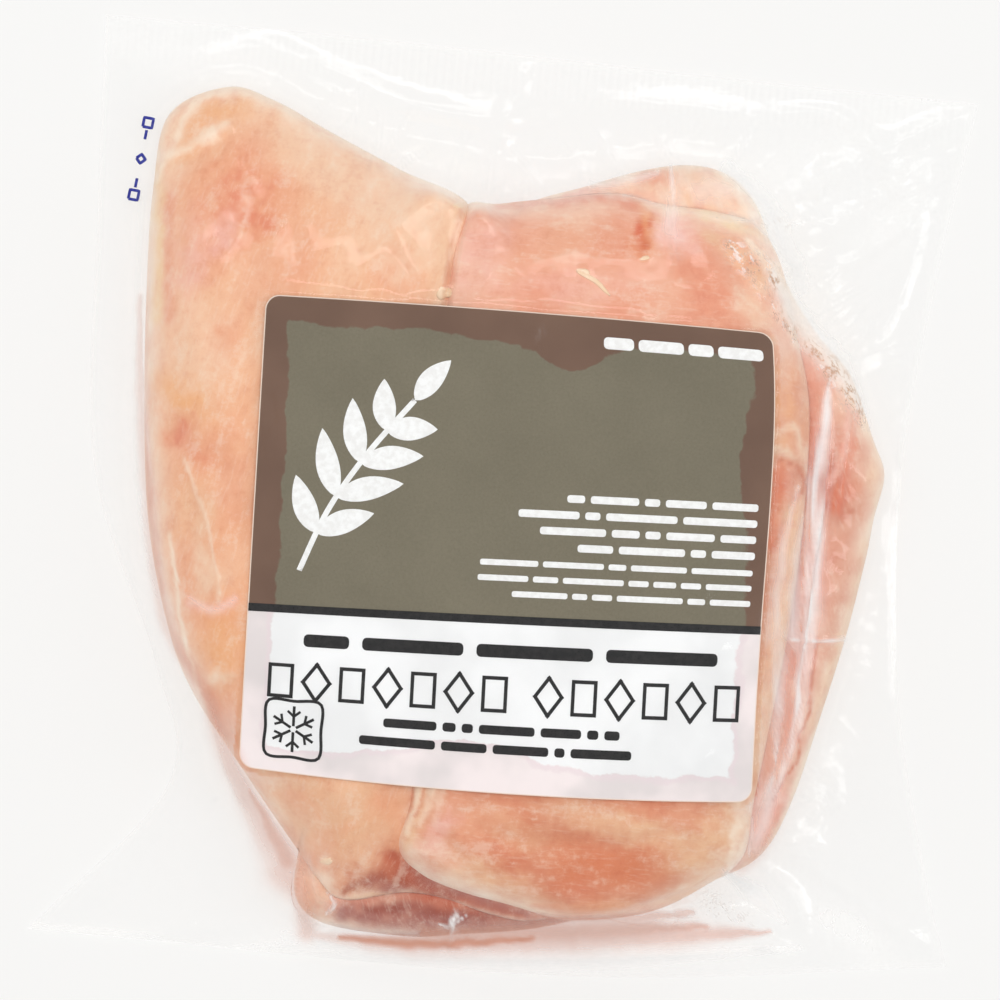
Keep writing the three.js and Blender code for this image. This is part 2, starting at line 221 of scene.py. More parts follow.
def edge_rise(distance, width):
    """From 0 at an outline to 1 where the side has rounded over into the top."""
    rest = 1 - np.clip(distance / width, 0, 1)
    return (1 - rest**ROUND_POWER) ** (1 / ROUND_POWER)


def waves(x, y, size, seed, count=14):
    """Seeded smooth noise, mostly within 1 of 0, with swells of about size."""
    rng = np.random.default_rng(SEED + seed)
    total = np.zeros(np.shape(x))
    for _ in range(count):
        heading, phase = rng.uniform(0, 2 * math.pi, 2)
        rate = 2 * math.pi / size * rng.uniform(0.6, 1.5)
        total += np.cos(rate * (x * math.cos(heading) + y * math.sin(heading)) + phase)
    return total / math.sqrt(count)


def crumple(x, y, size, seed):
    """Noise with sharp crests, as in crushed film: near 0 in the hollows and 1 on the crests."""
    fine = 1 - np.abs(waves(x, y, size, seed))
    coarse = 1 - np.abs(waves(x, y, size * 2.3, seed + 1))
    return np.clip(0.6 * coarse + 0.4 * fine, 0, 1)


def resample(line, shares):
    """Places at the given shares of a polyline's length."""
    gaps = np.hypot(*np.diff(line, axis=0).T)
    travelled = np.concatenate([[0], np.cumsum(gaps)])
    wanted = shares * travelled[-1]
    return np.stack([np.interp(wanted, travelled, line[:, axis]) for axis in (0, 1)], axis=1)


def patch(points, corners, columns, rows, sharp=(), crowd=0.0):
    """A grid of places that fills a closed outline, spanned between its four sides.

    crowd draws the grid's lines towards its edges, from 0 (even) to 1.
    """
    steps = 12
    curve = smooth_curve(points, sharp, True, steps)

    def shares(count):
        even = np.linspace(0, 1, count)
        return mix(even, 0.5 - 0.5 * np.cos(math.pi * even), crowd)

    def side(a, b, count):
        stop = b if b > a else b + len(points)
        return resample(curve[np.arange(a * steps, stop * steps + 1) % len(curve)], shares(count))

    top = side(corners[0], corners[1], columns)
    right = side(corners[1], corners[2], rows)
    bottom = side(corners[2], corners[3], columns)[::-1]
    left = side(corners[3], corners[0], rows)[::-1]
    u, v = shares(columns)[None, :, None], shares(rows)[:, None, None]
    between_ends = mix(top[None], bottom[None], v)
    between_sides = mix(left[:, None], right[:, None], u)
    from_corners = mix(mix(top[0], top[-1], u), mix(bottom[0], bottom[-1], u), v)
    grid = between_ends + between_sides - from_corners
    return grid[..., 0], grid[..., 1]


def settle(floor, pitch, radius, steps, held=None):
    """Lays a sheet under tension over a floor of heights; it bends no tighter than radius between."""
    sheet = floor.copy()
    sag = pitch**2 / (4 * radius)
    for _ in range(steps):
        padded = np.pad(sheet, 1, mode="edge")
        around = (padded[:-2, 1:-1] + padded[2:, 1:-1] + padded[1:-1, :-2] + padded[1:-1, 2:]) / 4
        sheet = np.maximum(floor, around - sag)
        if held is not None:
            sheet[held] = floor[held]
    return sheet


# Heights of the meat

left_outline = smooth_curve(LEFT_BREAST)
right_outline = smooth_curve(RIGHT_BREAST)
under_outline = smooth_curve(UNDER_BREAST)
groove_line = smooth_curve(GROOVE, closed=False)


def under_top(x, y):
    distance = inside_distance(x, y, under_outline)
    swell = 0.5 * waves(x, y, 18, 31) + 0.2 * waves(x, y, 7, 32)
    inside = RIM + (UNDER_TOP - RIM) * edge_rise(distance, UNDER_EDGE) + swell * smooth(distance / 5)
    return np.where(distance < 0, RIM + 3 * distance, inside)


def crown(x, y, groove_distance, foot_drop):
    """The top of a front breast, before its sides round off."""
    return (
        CROWN_TOP
        - CROWN_FALL_X * ((x - CROWN_X) / CROWN_REACH_X) ** 2
        - CROWN_FALL_Y * ((y - CROWN_Y) / CROWN_REACH_Y) ** 2
        - TIP_DROP * smooth((y - TIP_START) / TIP_LENGTH)
        - foot_drop * smooth((FOOT_START - y) / FOOT_LENGTH)
        - GROOVE_DEPTH * bell(groove_distance, GROOVE_WIDTH)
    )


def front_rim(x, y):
    """Where a front breast's top and underside meet: low, or on the piece that it lies on."""
    return np.maximum(RIM, under_top(x, y) + REST_GAP)


def front_top(x, y, outline, seed, web_drop, foot_drop):
    """The top of a front breast, with a tight edge along the groove and a wide one elsewhere."""
    distance = inside_distance(x, y, outline)
    groove_distance = nearest(x, y, groove_line)[0]
    width = mix(GROOVE_EDGE, LIP_EDGE, smooth((LIP_START - y) / 10))
    width = mix(width, FRONT_EDGE, smooth((groove_distance - 4) / 14))
    swell = 0.4 * waves(x, y, 26, seed) + 0.16 * waves(x, y, 9, seed + 1)
    rim = front_rim(x, y)
    above_rim = np.maximum(crown(x, y, groove_distance, foot_drop) - rim, 0.8)
    top = rim + above_rim * edge_rise(distance, width) + swell * smooth(distance / 6)
    cling = bell(groove_distance, WEB_WIDTH) * smooth((y - WEB_START) / 12) * smooth((60 - y) / 8)
    top = np.maximum(top, rim + cling * (above_rim - WEB_DEPTH - web_drop))
    return np.where(distance < 0, rim + 4 * distance, top)


def dents(x, y, table):
    """Hollows and, where the depth is negative, ridges along lines: depth, half width, points."""
    depth = np.zeros(np.shape(x))
    for amount, half_width, points in table:
        distance = nearest(x, y, smooth_curve(points, closed=False))[0]
        depth += amount * bell(distance, half_width)
    return depth


LEFT_DENTS = [
    (-0.15, 0.7, [(-63.8, 7.4), (-60.2, -2.4), (-58.2, -9.4), (-56.6, -21.2)]),
    (0.8, 3, [(-62.6, -2), (-61.4, -12), (-60, -20)]),
    (-0.5, 0.9, [(-68, 68.4), (-61, 72), (-54.6, 74.8)]), (0.8, 2, [(-66, 66), (-56, 71.4)]),
    (0.7, 3.5, [(-56, 52), (-50, 44)]), (1, 4, [(-66, 12), (-58, 6)]),
    (-0.4, 0.9, [(-59, -36.6), (-53.4, -35.8)]), (0.6, 1.6, [(-24, 56), (-16, 44)]),
    (1.2, 4, [(-21, -73), (-15, -77), (-8, -80)]),
]
RIGHT_DENTS = [
    (0.3, 2.2, [(27.8, 55.4), (28, 51.4)]), (0.7, 2.4, [(35, 55), (38, 46)]),
    (0.9, 1.4, [(55, 7.6), (59, 5.4), (58, -3), (55, -9.8)]),
    (-0.4, 0.7, [(54.4, 12.4), (58, 13.4), (60.2, 9.4)]), (0.8, 2, [(44, 49), (50, 40)]),
    (0.5, 2.5, [(-4, -68), (14, -70), (30, -69)]), (-0.2, 0.8, [(-15.6, -56), (-17.6, -62), (-20, -67)]),
    (-0.2, 0.7, [(-13.6, -56), (-14.6, -61), (-17.4, -66)]),
    (0.3, 0.8, [(-14.8, -56), (-15.8, -61), (-18.4, -66)]), (0.5, 2, [(-15, -66), (-10, -71)]),
    (-0.3, 1.2, [(-17, -71), (-9, -75.4)]),
]


def left_top(x, y):
    return front_top(x, y, left_outline, 3, 0.0, FOOT_DROP_LEFT) - dents(x, y, LEFT_DENTS)


def right_top(x, y):
    return front_top(x, y, right_outline, 11, 0.2, FOOT_DROP_RIGHT) - dents(x, y, RIGHT_DENTS)


def front_meat(x, y):
    return np.maximum(left_top(x, y), right_top(x, y))


def belly(x, y, outline, rim, floor):
    """The underside of a piece of meat, which curves up from what it lies on to its rim."""
    distance = inside_distance(x, y, outline)
    dimples = 0.07 * (1 + waves(x, y, 12, 41)) * smooth(distance / 12)
    return mix(rim, floor, edge_rise(distance, BELLY_EDGE)) + dimples


# Meshes

SHARP_FOLD = math.radians(50)    # paper and print stay flat up to edges sharper than this


def mesh_object(name, points, faces, material, slot):
    """A smooth-shaded mesh object from points in millimetres, riding on the pack's one body."""
    mesh = bpy.data.meshes.new(name)
    faces = faces.tolist() if hasattr(faces, "tolist") else faces
    mesh.from_pydata((np.asarray(points) * MM).tolist(), [], faces)
    mesh.validate()
    mesh.polygons.foreach_set("use_smooth", [True] * len(mesh.polygons))
    mesh.materials.append(material)
    piece = bpy.data.objects.new(name, mesh)
    bpy.context.scene.collection.objects.link(piece)
    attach(piece, "root")
    return piece


def grid_faces(numbers, flip=False):
    """The quads between the points of a grid of vertex numbers, whose rows run down the page."""
    a, b = numbers[:-1, :-1].ravel(), numbers[:-1, 1:].ravel()
    c, d = numbers[1:, 1:].ravel(), numbers[1:, :-1].ravel()
    return np.stack([a, b, c, d] if flip else [a, d, c, b], axis=1)


def shell(top, under):
    """Points and faces of a closed body from two grids of points that share their outer ring."""
    rows, columns = top.shape[:2]
    upper = np.arange(rows * columns).reshape(rows, columns)
    lower = upper.copy()
    inner = lower[1:-1, 1:-1]
    inner[:] = rows * columns + np.arange(inner.size).reshape(inner.shape)
    points = np.concatenate([top.reshape(-1, 3), under[1:-1, 1:-1].reshape(-1, 3)])
    return points, np.concatenate([grid_faces(upper), grid_faces(lower, flip=True)])


def thin_shell(top, under):
    """A closed thin body, whose two faces meet halfway at its edge."""
    rim = np.ones(top.shape[:2], bool)
    rim[1:-1, 1:-1] = False
    top[rim] = (top[rim] + under[rim]) / 2
    return shell(top, under)


def join_parts(parts):
    """One set of points and faces from several."""
    points, faces, first = [], [], 0
    for part_points, part_faces in parts:
        points.append(part_points)
        faces.extend([int(number) + first for number in face] for face in part_faces)
        first += len(part_points)
    return np.concatenate(points), faces


def paint(piece, name, red, green=0.0, blue=0.0, alpha=1.0):
    """Four values at each vertex, which the piece's material reads by name."""
    count = len(piece.data.vertices)
    values = np.ones((count, 4))
    for channel, value in enumerate((red, green, blue, alpha)):
        values[:, channel] = np.clip(np.broadcast_to(value, count), 0, 1)
    layer = piece.data.color_attributes.new(name=name, type="FLOAT_COLOR", domain="POINT")
    layer.data.foreach_set("color", values.ravel())


def positions(piece):
    """The piece's vertices, in millimetres."""
    flat = np.empty(3 * len(piece.data.vertices))
    piece.data.vertices.foreach_get("co", flat)
    return flat.reshape(-1, 3).T / MM


# Material nodes

def new_tree(name):
    material = bpy.data.materials.new(name)
    material.use_nodes = True
    material.node_tree.nodes.clear()
    return material, material.node_tree


def add(tree, kind, inputs=None, **settings):
    """A shader node; inputs that are sockets get linked, and others are set as values."""
    node = tree.nodes.new("ShaderNode" + kind)
    for name, value in settings.items():
        setattr(node, name, value)
    for name, value in (inputs or {}).items():
        if isinstance(value, bpy.types.NodeSocket):
            tree.links.new(value, node.inputs[name])
        else:
            node.inputs[name].default_value = value
    return node


def calc(tree, operation, a, b=0.0, clamp=False):
    return add(tree, "Math", {0: a, 1: b}, operation=operation, use_clamp=clamp).outputs[0]


def times(tree, a, b):
    return calc(tree, "MULTIPLY", a, b)


def plus(tree, a, b):
    return calc(tree, "ADD", a, b)


def blend(tree, share, a, b, how="MIX"):
    """Two colours mixed by a share."""
    return add(tree, "Mix", {0: share, 6: a, 7: b}, data_type="RGBA", blend_type=how).outputs[2]


def step_between(tree, value, low, high):
    """A soft step from 0 at low to 1 at high."""
    inputs = {"Value": value, "From Min": low, "From Max": high}
    return add(tree, "MapRange", inputs, interpolation_type="SMOOTHSTEP").outputs[0]


def noise(tree, place, size, detail=3.0, stretch=(1, 1, 1), roughness=0.5):
    """Noise with features of about size millimetres, centred on 0.5."""
    placed = add(tree, "Mapping", {"Vector": place, "Scale": tuple(1 / s for s in stretch)}).outputs[0]
    inputs = {"Vector": placed, "Scale": 1 / (size * MM), "Detail": detail, "Roughness": roughness}
    return add(tree, "TexNoise", inputs).outputs[0]


def spread(tree, value, low, high):
    """A value from 0 to 1, spread between low and high."""
    return add(tree, "MapRange", {"Value": value, "To Min": low, "To Max": high}).outputs[0]


def bumps(tree, height, strength, depth):
    """The surface's direction, bumpy by a height; depth is in millimetres."""
    return add(tree, "Bump", {"Height": height, "Strength": strength, "Distance": depth * MM}).outputs[0]


def object_place(tree):
    return add(tree, "TexCoord").outputs["Object"]


def painted(tree, name):
    """The three values painted on the vertices under a name."""
    colour = add(tree, "Attribute", attribute_name=name).outputs["Color"]
    return add(tree, "SeparateColor", {0: colour}).outputs


def solid(tree, inputs):
    """An opaque surface."""
    return add(tree, "BsdfPrincipled", inputs).outputs[0]


def finish_material(tree, shader):
    add(tree, "OutputMaterial", {"Surface": shader})


def meat_material(name, fibre_angle):
    """Raw poultry: the painted colour, mottled and crossed by faint wet fibres."""
    material, tree = new_tree(name)
    place = object_place(tree)
    flesh = add(tree, "Attribute", attribute_name="flesh").outputs["Color"]
    turned = add(tree, "Mapping", {"Vector": place, "Rotation": (0, 0, fibre_angle)}).outputs[0]
    fibres = noise(tree, turned, 0.7, 4.0, (5, 1, 2), 0.6)
    bands = noise(tree, turned, 4.0, 3.0, (4, 1, 2))
    mottle = noise(tree, place, 2.0, 6.0, roughness=0.75)

    red_share = step_between(tree, plus(tree, mottle, times(tree, bands, 0.8)), 0.86, 1.2)
    colour = blend(tree, times(tree, red_share, 0.4), flesh, srgb(236, 196, 184), "MULTIPLY")
    pale_share = step_between(tree, plus(tree, mottle, bands), 0.98, 0.7)
    colour = blend(tree, times(tree, pale_share, 0.3), colour, CREAM)
    thread = step_between(tree, fibres, 0.52, 0.68)
    colour = blend(tree, times(tree, thread, 0.13), colour, CREAM)

    relief = plus(tree, times(tree, fibres, 0.8), times(tree, mottle, 0.6))
    bump = bumps(tree, relief, 0.3, 0.3)
    shine = spread(tree, mottle, 0.35, 0.55)
    finish_material(tree, solid(tree, {
        "Base Color": colour, "Roughness": shine, "Normal": bump, "Specular IOR Level": 0.3,
        "Sheen Weight": 0.35, "Sheen Roughness": 0.5, "Sheen Tint": srgb(255, 240, 226),
    }))
    return material


CREASE_SLANT = math.radians(50)    # the crumpled film's creases run down to the right


def crumple_shade_and_glints(tree, place):
    """Winding tan lines and pale flecks where the film is crumpled: the lines are painted shade in the
    creases, partly what shows through them, and the flecks are painted glints on the crests, partly milky
    film.
    """
    creased = add(tree, "Attribute", attribute_name="film").outputs["Alpha"]
    slanted = add(tree, "Mapping", {"Vector": place, "Rotation": (0, 0, CREASE_SLANT)}).outputs[0]
    winding = noise(tree, slanted, 1.8, 4.0, (2.2, 1, 1), 0.65)
    winding = calc(tree, "ABSOLUTE", calc(tree, "SUBTRACT", winding, 0.5))
    broken = step_between(tree, noise(tree, place, 2.2, 3.0), 0.44, 0.56)
    lines = times(tree, times(tree, creased, broken), step_between(tree, winding, 0.075, 0.01))
    flecks = step_between(tree, noise(tree, slanted, 1.5, 3.0, (2.0, 1, 1)), 0.56, 0.64)
    return lines, times(tree, creased, flecks)


def film_material():
    """Clear film: it mirrors more at a slant, ripples finely, and is milky where creased or sealed; its
    milky white also carries painted highlights on some folds and crests, and painted tan shade along
    crumpled creases.
    """
    material, tree = new_tree("clear_film")
    place = object_place(tree)
    haze, loose, juice = painted(tree, "film")[:3]
    ripple = noise(tree, place, 2.2, 3.0)
    scuffs = noise(tree, place, 0.7, 5.0, (3, 1, 1))
    lines, flecks = crumple_shade_and_glints(tree, place)
    relief = plus(tree, ripple, times(tree, scuffs, 0.3))
    bump = bumps(tree, relief, loose, 0.3)
    rough = spread(tree, scuffs, 0.06, 0.2)
    clear = add(tree, "BsdfTransparent", {"Color": srgb(255, 255, 255)}).outputs[0]
    gloss = add(tree, "BsdfGlossy", {"Color": srgb(255, 255, 255), "Roughness": rough, "Normal": bump})
    milk_colour = blend(tree, juice, srgb(250, 249, 247), srgb(224, 160, 136))
    # painted shade: tan lines along the crumpled creases
    milk_colour = blend(tree, lines, milk_colour, srgb(178, 142, 114))
    milk_and_highlights = add(tree, "BsdfDiffuse", {"Color": milk_colour}).outputs[0]
    facing = add(tree, "LayerWeight", {"Blend": 0.5, "Normal": bump}).outputs["Facing"]
    mirror = plus(tree, times(tree, calc(tree, "POWER", facing, 5.0), 0.97), 0.03)
    sheet = add(tree, "MixShader", {0: mirror, 1: clear, 2: gloss.outputs[0]}).outputs[0]
    grain = plus(tree, times(tree, scuffs, 0.2), 0.9)
    cover = calc(tree, "MULTIPLY", haze, grain, clamp=True)
    # painted shade in the creases and painted glints on their crests, partly milky film, set the milky cover
    # there
    cover = calc(tree, "MAXIMUM", cover, times(tree, lines, 0.6))
    cover = calc(tree, "MAXIMUM", cover, times(tree, flecks, 0.7))
    finish_material(tree, add(tree, "MixShader", {0: cover, 1: sheet, 2: milk_and_highlights}).outputs[0])
    return material


def label_material():
    """Matt paper, dark above and white below, damp and stained inwards from its edge."""
    material, tree = new_tree("label_paper")
    place = object_place(tree)
    depth, up, inset = painted(tree, "paper")[:3]
    ragged = noise(tree, place, 7, 5.0, roughness=0.6)
    wander = times(tree, calc(tree, "SUBTRACT", ragged, 0.5), 0.22)
    reach = plus(tree, depth, wander)
    damp = step_between(tree, reach, 0.262, 0.238)
    tide = noise(tree, place, 18, 3.0)
    grain = noise(tree, place, 0.5, 3.0)
    is_dark = step_between(tree, up, 0.4999, 0.5001)
    uneven = plus(tree, times(tree, grain, 0.5), times(tree, tide, 0.5))
    dry_dark = blend(tree, uneven, srgb(101, 94, 75), srgb(134, 126, 105))
    wet_dark = blend(tree, tide, srgb(92, 63, 46), srgb(128, 97, 77))
    dry_white = blend(tree, step_between(tree, tide, 0.35, 0.65), srgb(240, 240, 239), srgb(250, 250, 249))
    wet_white = blend(tree, step_between(tree, tide, 0.4, 0.6), srgb(228, 219, 217), srgb(248, 236, 234))
    shore = times(tree, damp, step_between(tree, reach, 0.18, 0.225))
    wet_white = blend(tree, times(tree, shore, 0.5), wet_white, srgb(234, 216, 219))
    dark = blend(tree, damp, dry_dark, wet_dark)
    white = blend(tree, damp, dry_white, wet_white)
    colour = blend(tree, is_dark, white, dark)
    # a thin cream line at the very edge: partly the paper's cut edge, partly a painted highlight where the
    # film bridges off it
    colour = blend(tree, step_between(tree, inset, 0.07, 0.03), colour, srgb(240, 218, 200))
    bump = bumps(tree, grain, 0.15, 0.1)
    shine = calc(tree, "SUBTRACT", 0.6, times(tree, damp, 0.22))
    finish_material(tree, solid(tree, {"Base Color": colour, "Roughness": shine, "Normal": bump}))
    return material


def ink_material(name, thin, thick, size):
    """Printed ink that covers a little unevenly."""
    material, tree = new_tree(name)
    place = object_place(tree)
    cover = noise(tree, place, size, 4.0)
    colour = blend(tree, step_between(tree, cover, 0.35, 0.65), thin, thick)
    shine = spread(tree, cover, 0.4, 0.6)
    finish_material(tree, solid(tree, {"Base Color": colour, "Roughness": shine}))
    return material


def fat_material():
    """Scraps of fat and sinew: cream with yellower hollows."""
    material, tree = new_tree("fat")
    place = object_place(tree)
    patches = noise(tree, place, 2.0, 4.0)
    colour = blend(tree, patches, srgb(243, 204, 164), srgb(251, 226, 198))
    bump = bumps(tree, patches, 0.4, 0.3)
    shine = spread(tree, patches, 0.25, 0.45)
    finish_material(tree, solid(tree, {"Base Color": colour, "Roughness": shine, "Normal": bump}))
    return material


# Meat

PEACH = srgb(244, 197, 163)
SALMON = srgb(234, 172, 141)
ORANGE = srgb(243, 186, 134)
ROSE = srgb(230, 146, 114)
RED = srgb(214, 92, 60)
BRICK = srgb(198, 112, 82)
CLAY = srgb(210, 128, 96)
BUFF = srgb(240, 200, 166)
PALE = srgb(248, 218, 192)
PINK = srgb(246, 200, 186)
CREAM = srgb(253, 234, 214)
RUST = srgb(178, 94, 68)
SHELL = srgb(240, 206, 190)
STRAW = srgb(244, 208, 152)
UMBER = srgb(178, 100, 76)
SAND = srgb(240, 200, 168)
BUTTER = srgb(248, 222, 178)
EMBER = srgb(206, 104, 72)
APRICOT = srgb(232, 170, 136)
COPPER = srgb(220, 142, 104)
BLUSH = srgb(236, 188, 168)
AMBER = srgb(232, 164, 126)
WHEAT = srgb(242, 208, 180)
MILK = srgb(253, 246, 236)
SIENNA = srgb(198, 114, 86)
TAUPE = srgb(184, 128, 116)
LIVER = srgb(162, 96, 82)
MUSHROOM = srgb(196, 160, 154)
TAN = srgb(232, 180, 144)

# Patches: colour, how strong, x, y, half length, half width and the length's angle in degrees; or
# colour, how strong, half width and the points of a line. A later patch covers the ones before it.
LEFT_PATCHES = [
    (PALE, 0.6, -30, 62, 22, 5, 152), (PALE, 0.5, -20.6, 47, 8, 5, 0), (PALE, 0.4, -24, 59, 8, 5, 0),
    (SALMON, 0.5, -46, 46, 12, 8, 60), (ORANGE, 0.55, -57.4, 77, 6.5, 3.4, 25),
    (ORANGE, 0.3, -65, 70, 4, 3, 60), (ROSE, 0.7, -54.2, 60, 9, 7, 50),
    (ROSE, 0.6, -50.6, 55.2, 4.5, 5, 70), (PINK, 0.75, -57, 51, 6, 3.2, 60),
    (PINK, 0.5, -62.6, 47, 10, 2.8, 85), (ROSE, 0.45, 1.4, [(-67.4, 60), (-67.2, 48), (-66.8, 36)]),
    (PALE, 0.5, -59.6, 29, 11, 6, 80), (ORANGE, 0.7, -64, 19.6, 7, 3.6, 150),
    (ROSE, 0.75, -65, 12.6, 3.6, 2.6, 60), (ROSE, 0.4, -62, 9, 5, 2, 140),
    (SALMON, 0.6, -54.6, 3, 12, 6, 95), (BUFF, 0.5, -61.4, -3, 9, 3, 100),
    (PALE, 0.7, -60.2, -14, 8, 3.2, 100),
    (CREAM, 0.45, 0.35, [(-63.8, 7.4), (-60.2, -2.4), (-58.2, -9.4), (-56.6, -21.2)]),
    (PINK, 0.6, 0.9, [(-63, -21.4), (-59.6, -22.6), (-57.2, -23.2), (-53.8, -20.6)]),
    (ORANGE, 0.5, -56, -30, 8, 5, 110), (PALE, 0.8, -56.4, -36.2, 3.8, 1.3, 8),
    (ORANGE, 0.5, 2.6, [(-55, -48), (-47, -60), (-41, -69)]), (BUFF, 0.6, -28.4, -63, 9, 6, 65),
    (BUFF, 0.5, -37, -65, 9, 6, 60), (BUFF, 0.7, -41, -57.4, 6, 2.4, 170),
    # The clay, brick and rust patches from here to the rust one, and the umber band at the end: darker,
    # redder colour in the crevice under the right breast's lip, partly dark blood and partly painted shade.
    (CLAY, 0.3, -17.4, -61, 7, 2.2, 80), (CLAY, 0.6, -27, -76.8, 9, 3, 4),
    (CLAY, 0.75, -19.6, -74, 6, 4.6, 150),
    (CLAY, 0.8, (1, 2.6, 2.2, 1.6), [(-23, -72), (-17, -77.6), (-5, -81.8), (8, -85)]),
    (BRICK, 0.9, (0.8, 1.4, 1.2, 0.8), [(-22.2, -71.6), (-17.4, -77), (-8.8, -80.4), (2, -83.4)]),
    (RUST, 0.85, -20.4, -78.6, 5.6, 2, 4),
    (BUFF, 0.7, 0.5, [(-34, -82), (-27, -80.6), (-20, -80.2), (-12, -81.4)]),
    (CREAM, 0.9, -35.4, -73.6, 1.4, 1.1, 0),
    (SHELL, 0.6, (1, 1.6),
     [(-72.2, 50), (-72.2, 19), (-71, 2), (-69.6, -12), (-66.4, -26), (-61.8, -38), (-57.4, -47)]),
    (CREAM, 0.75, 0.45,
     [(-66.8, -8), (-64.4, -26), (-61, -40), (-56.6, -49.6), (-51.6, -56.4), (-42, -70)]),
    (STRAW, 0.5, 1.2, [(-69.4, 66), (-69.2, 50), (-69.6, 36)]),
    # a painted highlight: a cream line just inside the top edge, from the tip to the groove, where the film
    # turns over it
    (CREAM, 0.7, 0.9, [(-69.6, 64), (-62, 79), (-52, 81.4), (-30, 71.6), (-8, 59.4)]),
    (CREAM, 0.6, 0.9, [(-68.6, 68.4), (-64.6, 69.6), (-61, 72), (-55.4, 74.6)]),
    (CREAM, 0.7, -59.2, 72.4, 2.2, 1.5, 20), (BUFF, 0.5, 2.2, [(-8.6, 58), (-11.4, 49), (-13.4, 40.6)]),
    (CLAY, 0.3, 0.6, [(-8.4, 57), (-10.9, 48.6), (-12, 40.6)]),
    # painted shade, partly dark blood: a dark band along the left breast's foot, just under the right
    # breast's lip
    (UMBER, 0.8, (0.8, 2.2, 3.2, 2.4, 1.8, 1),
     [(-32, -79.4), (-26, -77.4), (-19, -76.4), (-11, -79), (-2, -82.2), (5, -84)]),
]
RIGHT_PATCHES = [
    (PINK, 0.6, -4, 49, 5, 8, 0), (SALMON, 0.6, 12, 50, 12, 5, 5), (PINK, 0.4, 14, 42, 12, 3, 0),
    (ROSE, 0.75, 1.5, [(-0.8, 58.8), (12, 59.6), (22, 60), (27, 58)]), (PINK, 0.8, 33.6, 53.4, 3.2, 4, 0),
    (ROSE, 0.4, 40, 41, 9, 5, 135), (PINK, 0.7, 37.4, 51.2, 3.4, 3, 0),
    (PALE, 0.6, 50.6, 36, 6, 2.6, 130),
    (SAND, 0.8, (1.2, 2.4, 2.4), [(41, 52.4), (47.4, 48), (52, 42.6)]),
    (BUTTER, 0.6, 45, 55.4, 8, 1.6, 165),
    (CREAM, 0.85, (0.6, 1.8, 2.4, 2.4), [(49, 51.4), (54.4, 45), (58, 39.6), (61.4, 32)]),
    (ROSE, 0.8, 27.8, 52.6, 4.6, 2.2, 82), (ORANGE, 0.6, 28.2, 53.4, 4.6, 2, 88),
    (RED, 0.6, 27.2, 53.2, 2.8, 1.2, 98), (EMBER, 0.55, 28.4, 50.6, 1.8, 1.1, 60),
    (RED, 0.45, 29.4, 54.6, 1.5, 0.8, 70), (ORANGE, 0.5, 57, 17, 10, 4, 95),
    (APRICOT, 0.7, 2.2, [(59.4, 27), (60.4, 19), (60, 12)]),
    (ROSE, 0.8, (3.4, 3, 1), [(54.6, 3.6), (55.6, -2), (53.8, -10)]),
    (PALE, 0.8, 0.7, [(54, 12.6), (58, 13.4), (60.2, 9.4)]),
    (PALE, 0.9, 0.8, [(53.6, 9.6), (57.6, 8.6), (60.8, 4.2)]),
    (CLAY, 0.7, 0.4, [(53.8, 7.6), (57.4, 6.6), (60.2, 3.4), (58.2, -1.4), (55.4, -6.8), (53.6, -11)]),
    (BUFF, 0.8, 3, [(58.6, -4), (56.4, -22), (53, -42), (51, -56)]),
    (CLAY, 0.7, 59.4, 4.4, 3.6, 1.8, 100), (SALMON, 0.5, 20, -62, 32, 3, 178),
    (COPPER, 0.6, 22, -74.4, 15, 4, 172), (SALMON, 0.5, 34, -64, 9, 3, 170),
    (SALMON, 0.8, -8, -63, 11, 8, 120), (BUFF, 0.75, 27, -67, 19, 2.8, 164),
    (CLAY, 0.5, -1, -73, 7, 2.6, 165), (BUFF, 0.4, 2, -67, 9, 3, 160), (CLAY, 0.45, 6, -77.6, 14, 3, 168),
    (BUFF, 0.85, 44.6, -67, 5, 9, 150), (BUFF, 0.6, 39, -71, 9, 4, 30),
    (BUFF, 0.7, -6, -75, 12, 3.4, 158),
    (BUFF, 0.85, 2.2, [(0, -82.6), (14, -84.6), (30, -83.2), (42, -77)]),
    (PALE, 0.8, -19.2, -70, 4.6, 3, 115), (BLUSH, 0.8, -14, -71.6, 5.6, 3, 155),
    (PALE, 0.6, -9, -76.6, 5, 1.6, 158),
    (BUFF, 0.8, (2.8, 3.2, 2.6, 1), [(-16.4, -55), (-16.6, -60), (-18.4, -66), (-19.6, -70)]),
    (CREAM, 0.45, (0.6, 1.1, 0.5), [(-13.8, -56), (-14.4, -61), (-16.6, -65.6)]),
    (CREAM, 0.5, (0.6, 1, 0.7), [(-16.4, -55.6), (-17.2, -61), (-19.4, -67.4)]),
    (CREAM, 0.35, 0.7, [(-11.8, -57), (-12.8, -61.4), (-13.6, -66)]),
    (CLAY, 0.5, 0.5, [(-17.4, -56), (-18.4, -61), (-19.8, -65)]),
    (CLAY, 0.45, 0.4, [(-15.2, -56), (-15.8, -60.4), (-17.6, -64)]),
    (CLAY, 0.4, 0.7, [(-19.8, -56), (-20.4, -60), (-21, -64)]), (CREAM, 0.8, 46.6, -69, 2, 8, 176),
    (PINK, 0.7, -12.4, -66.6, 4, 2.4, 60),
    (AMBER, 0.6, (0.6, 1.6, 1.6, 0.6), [(6, -82), (15, -83), (25, -83.2), (34, -82)]),
]
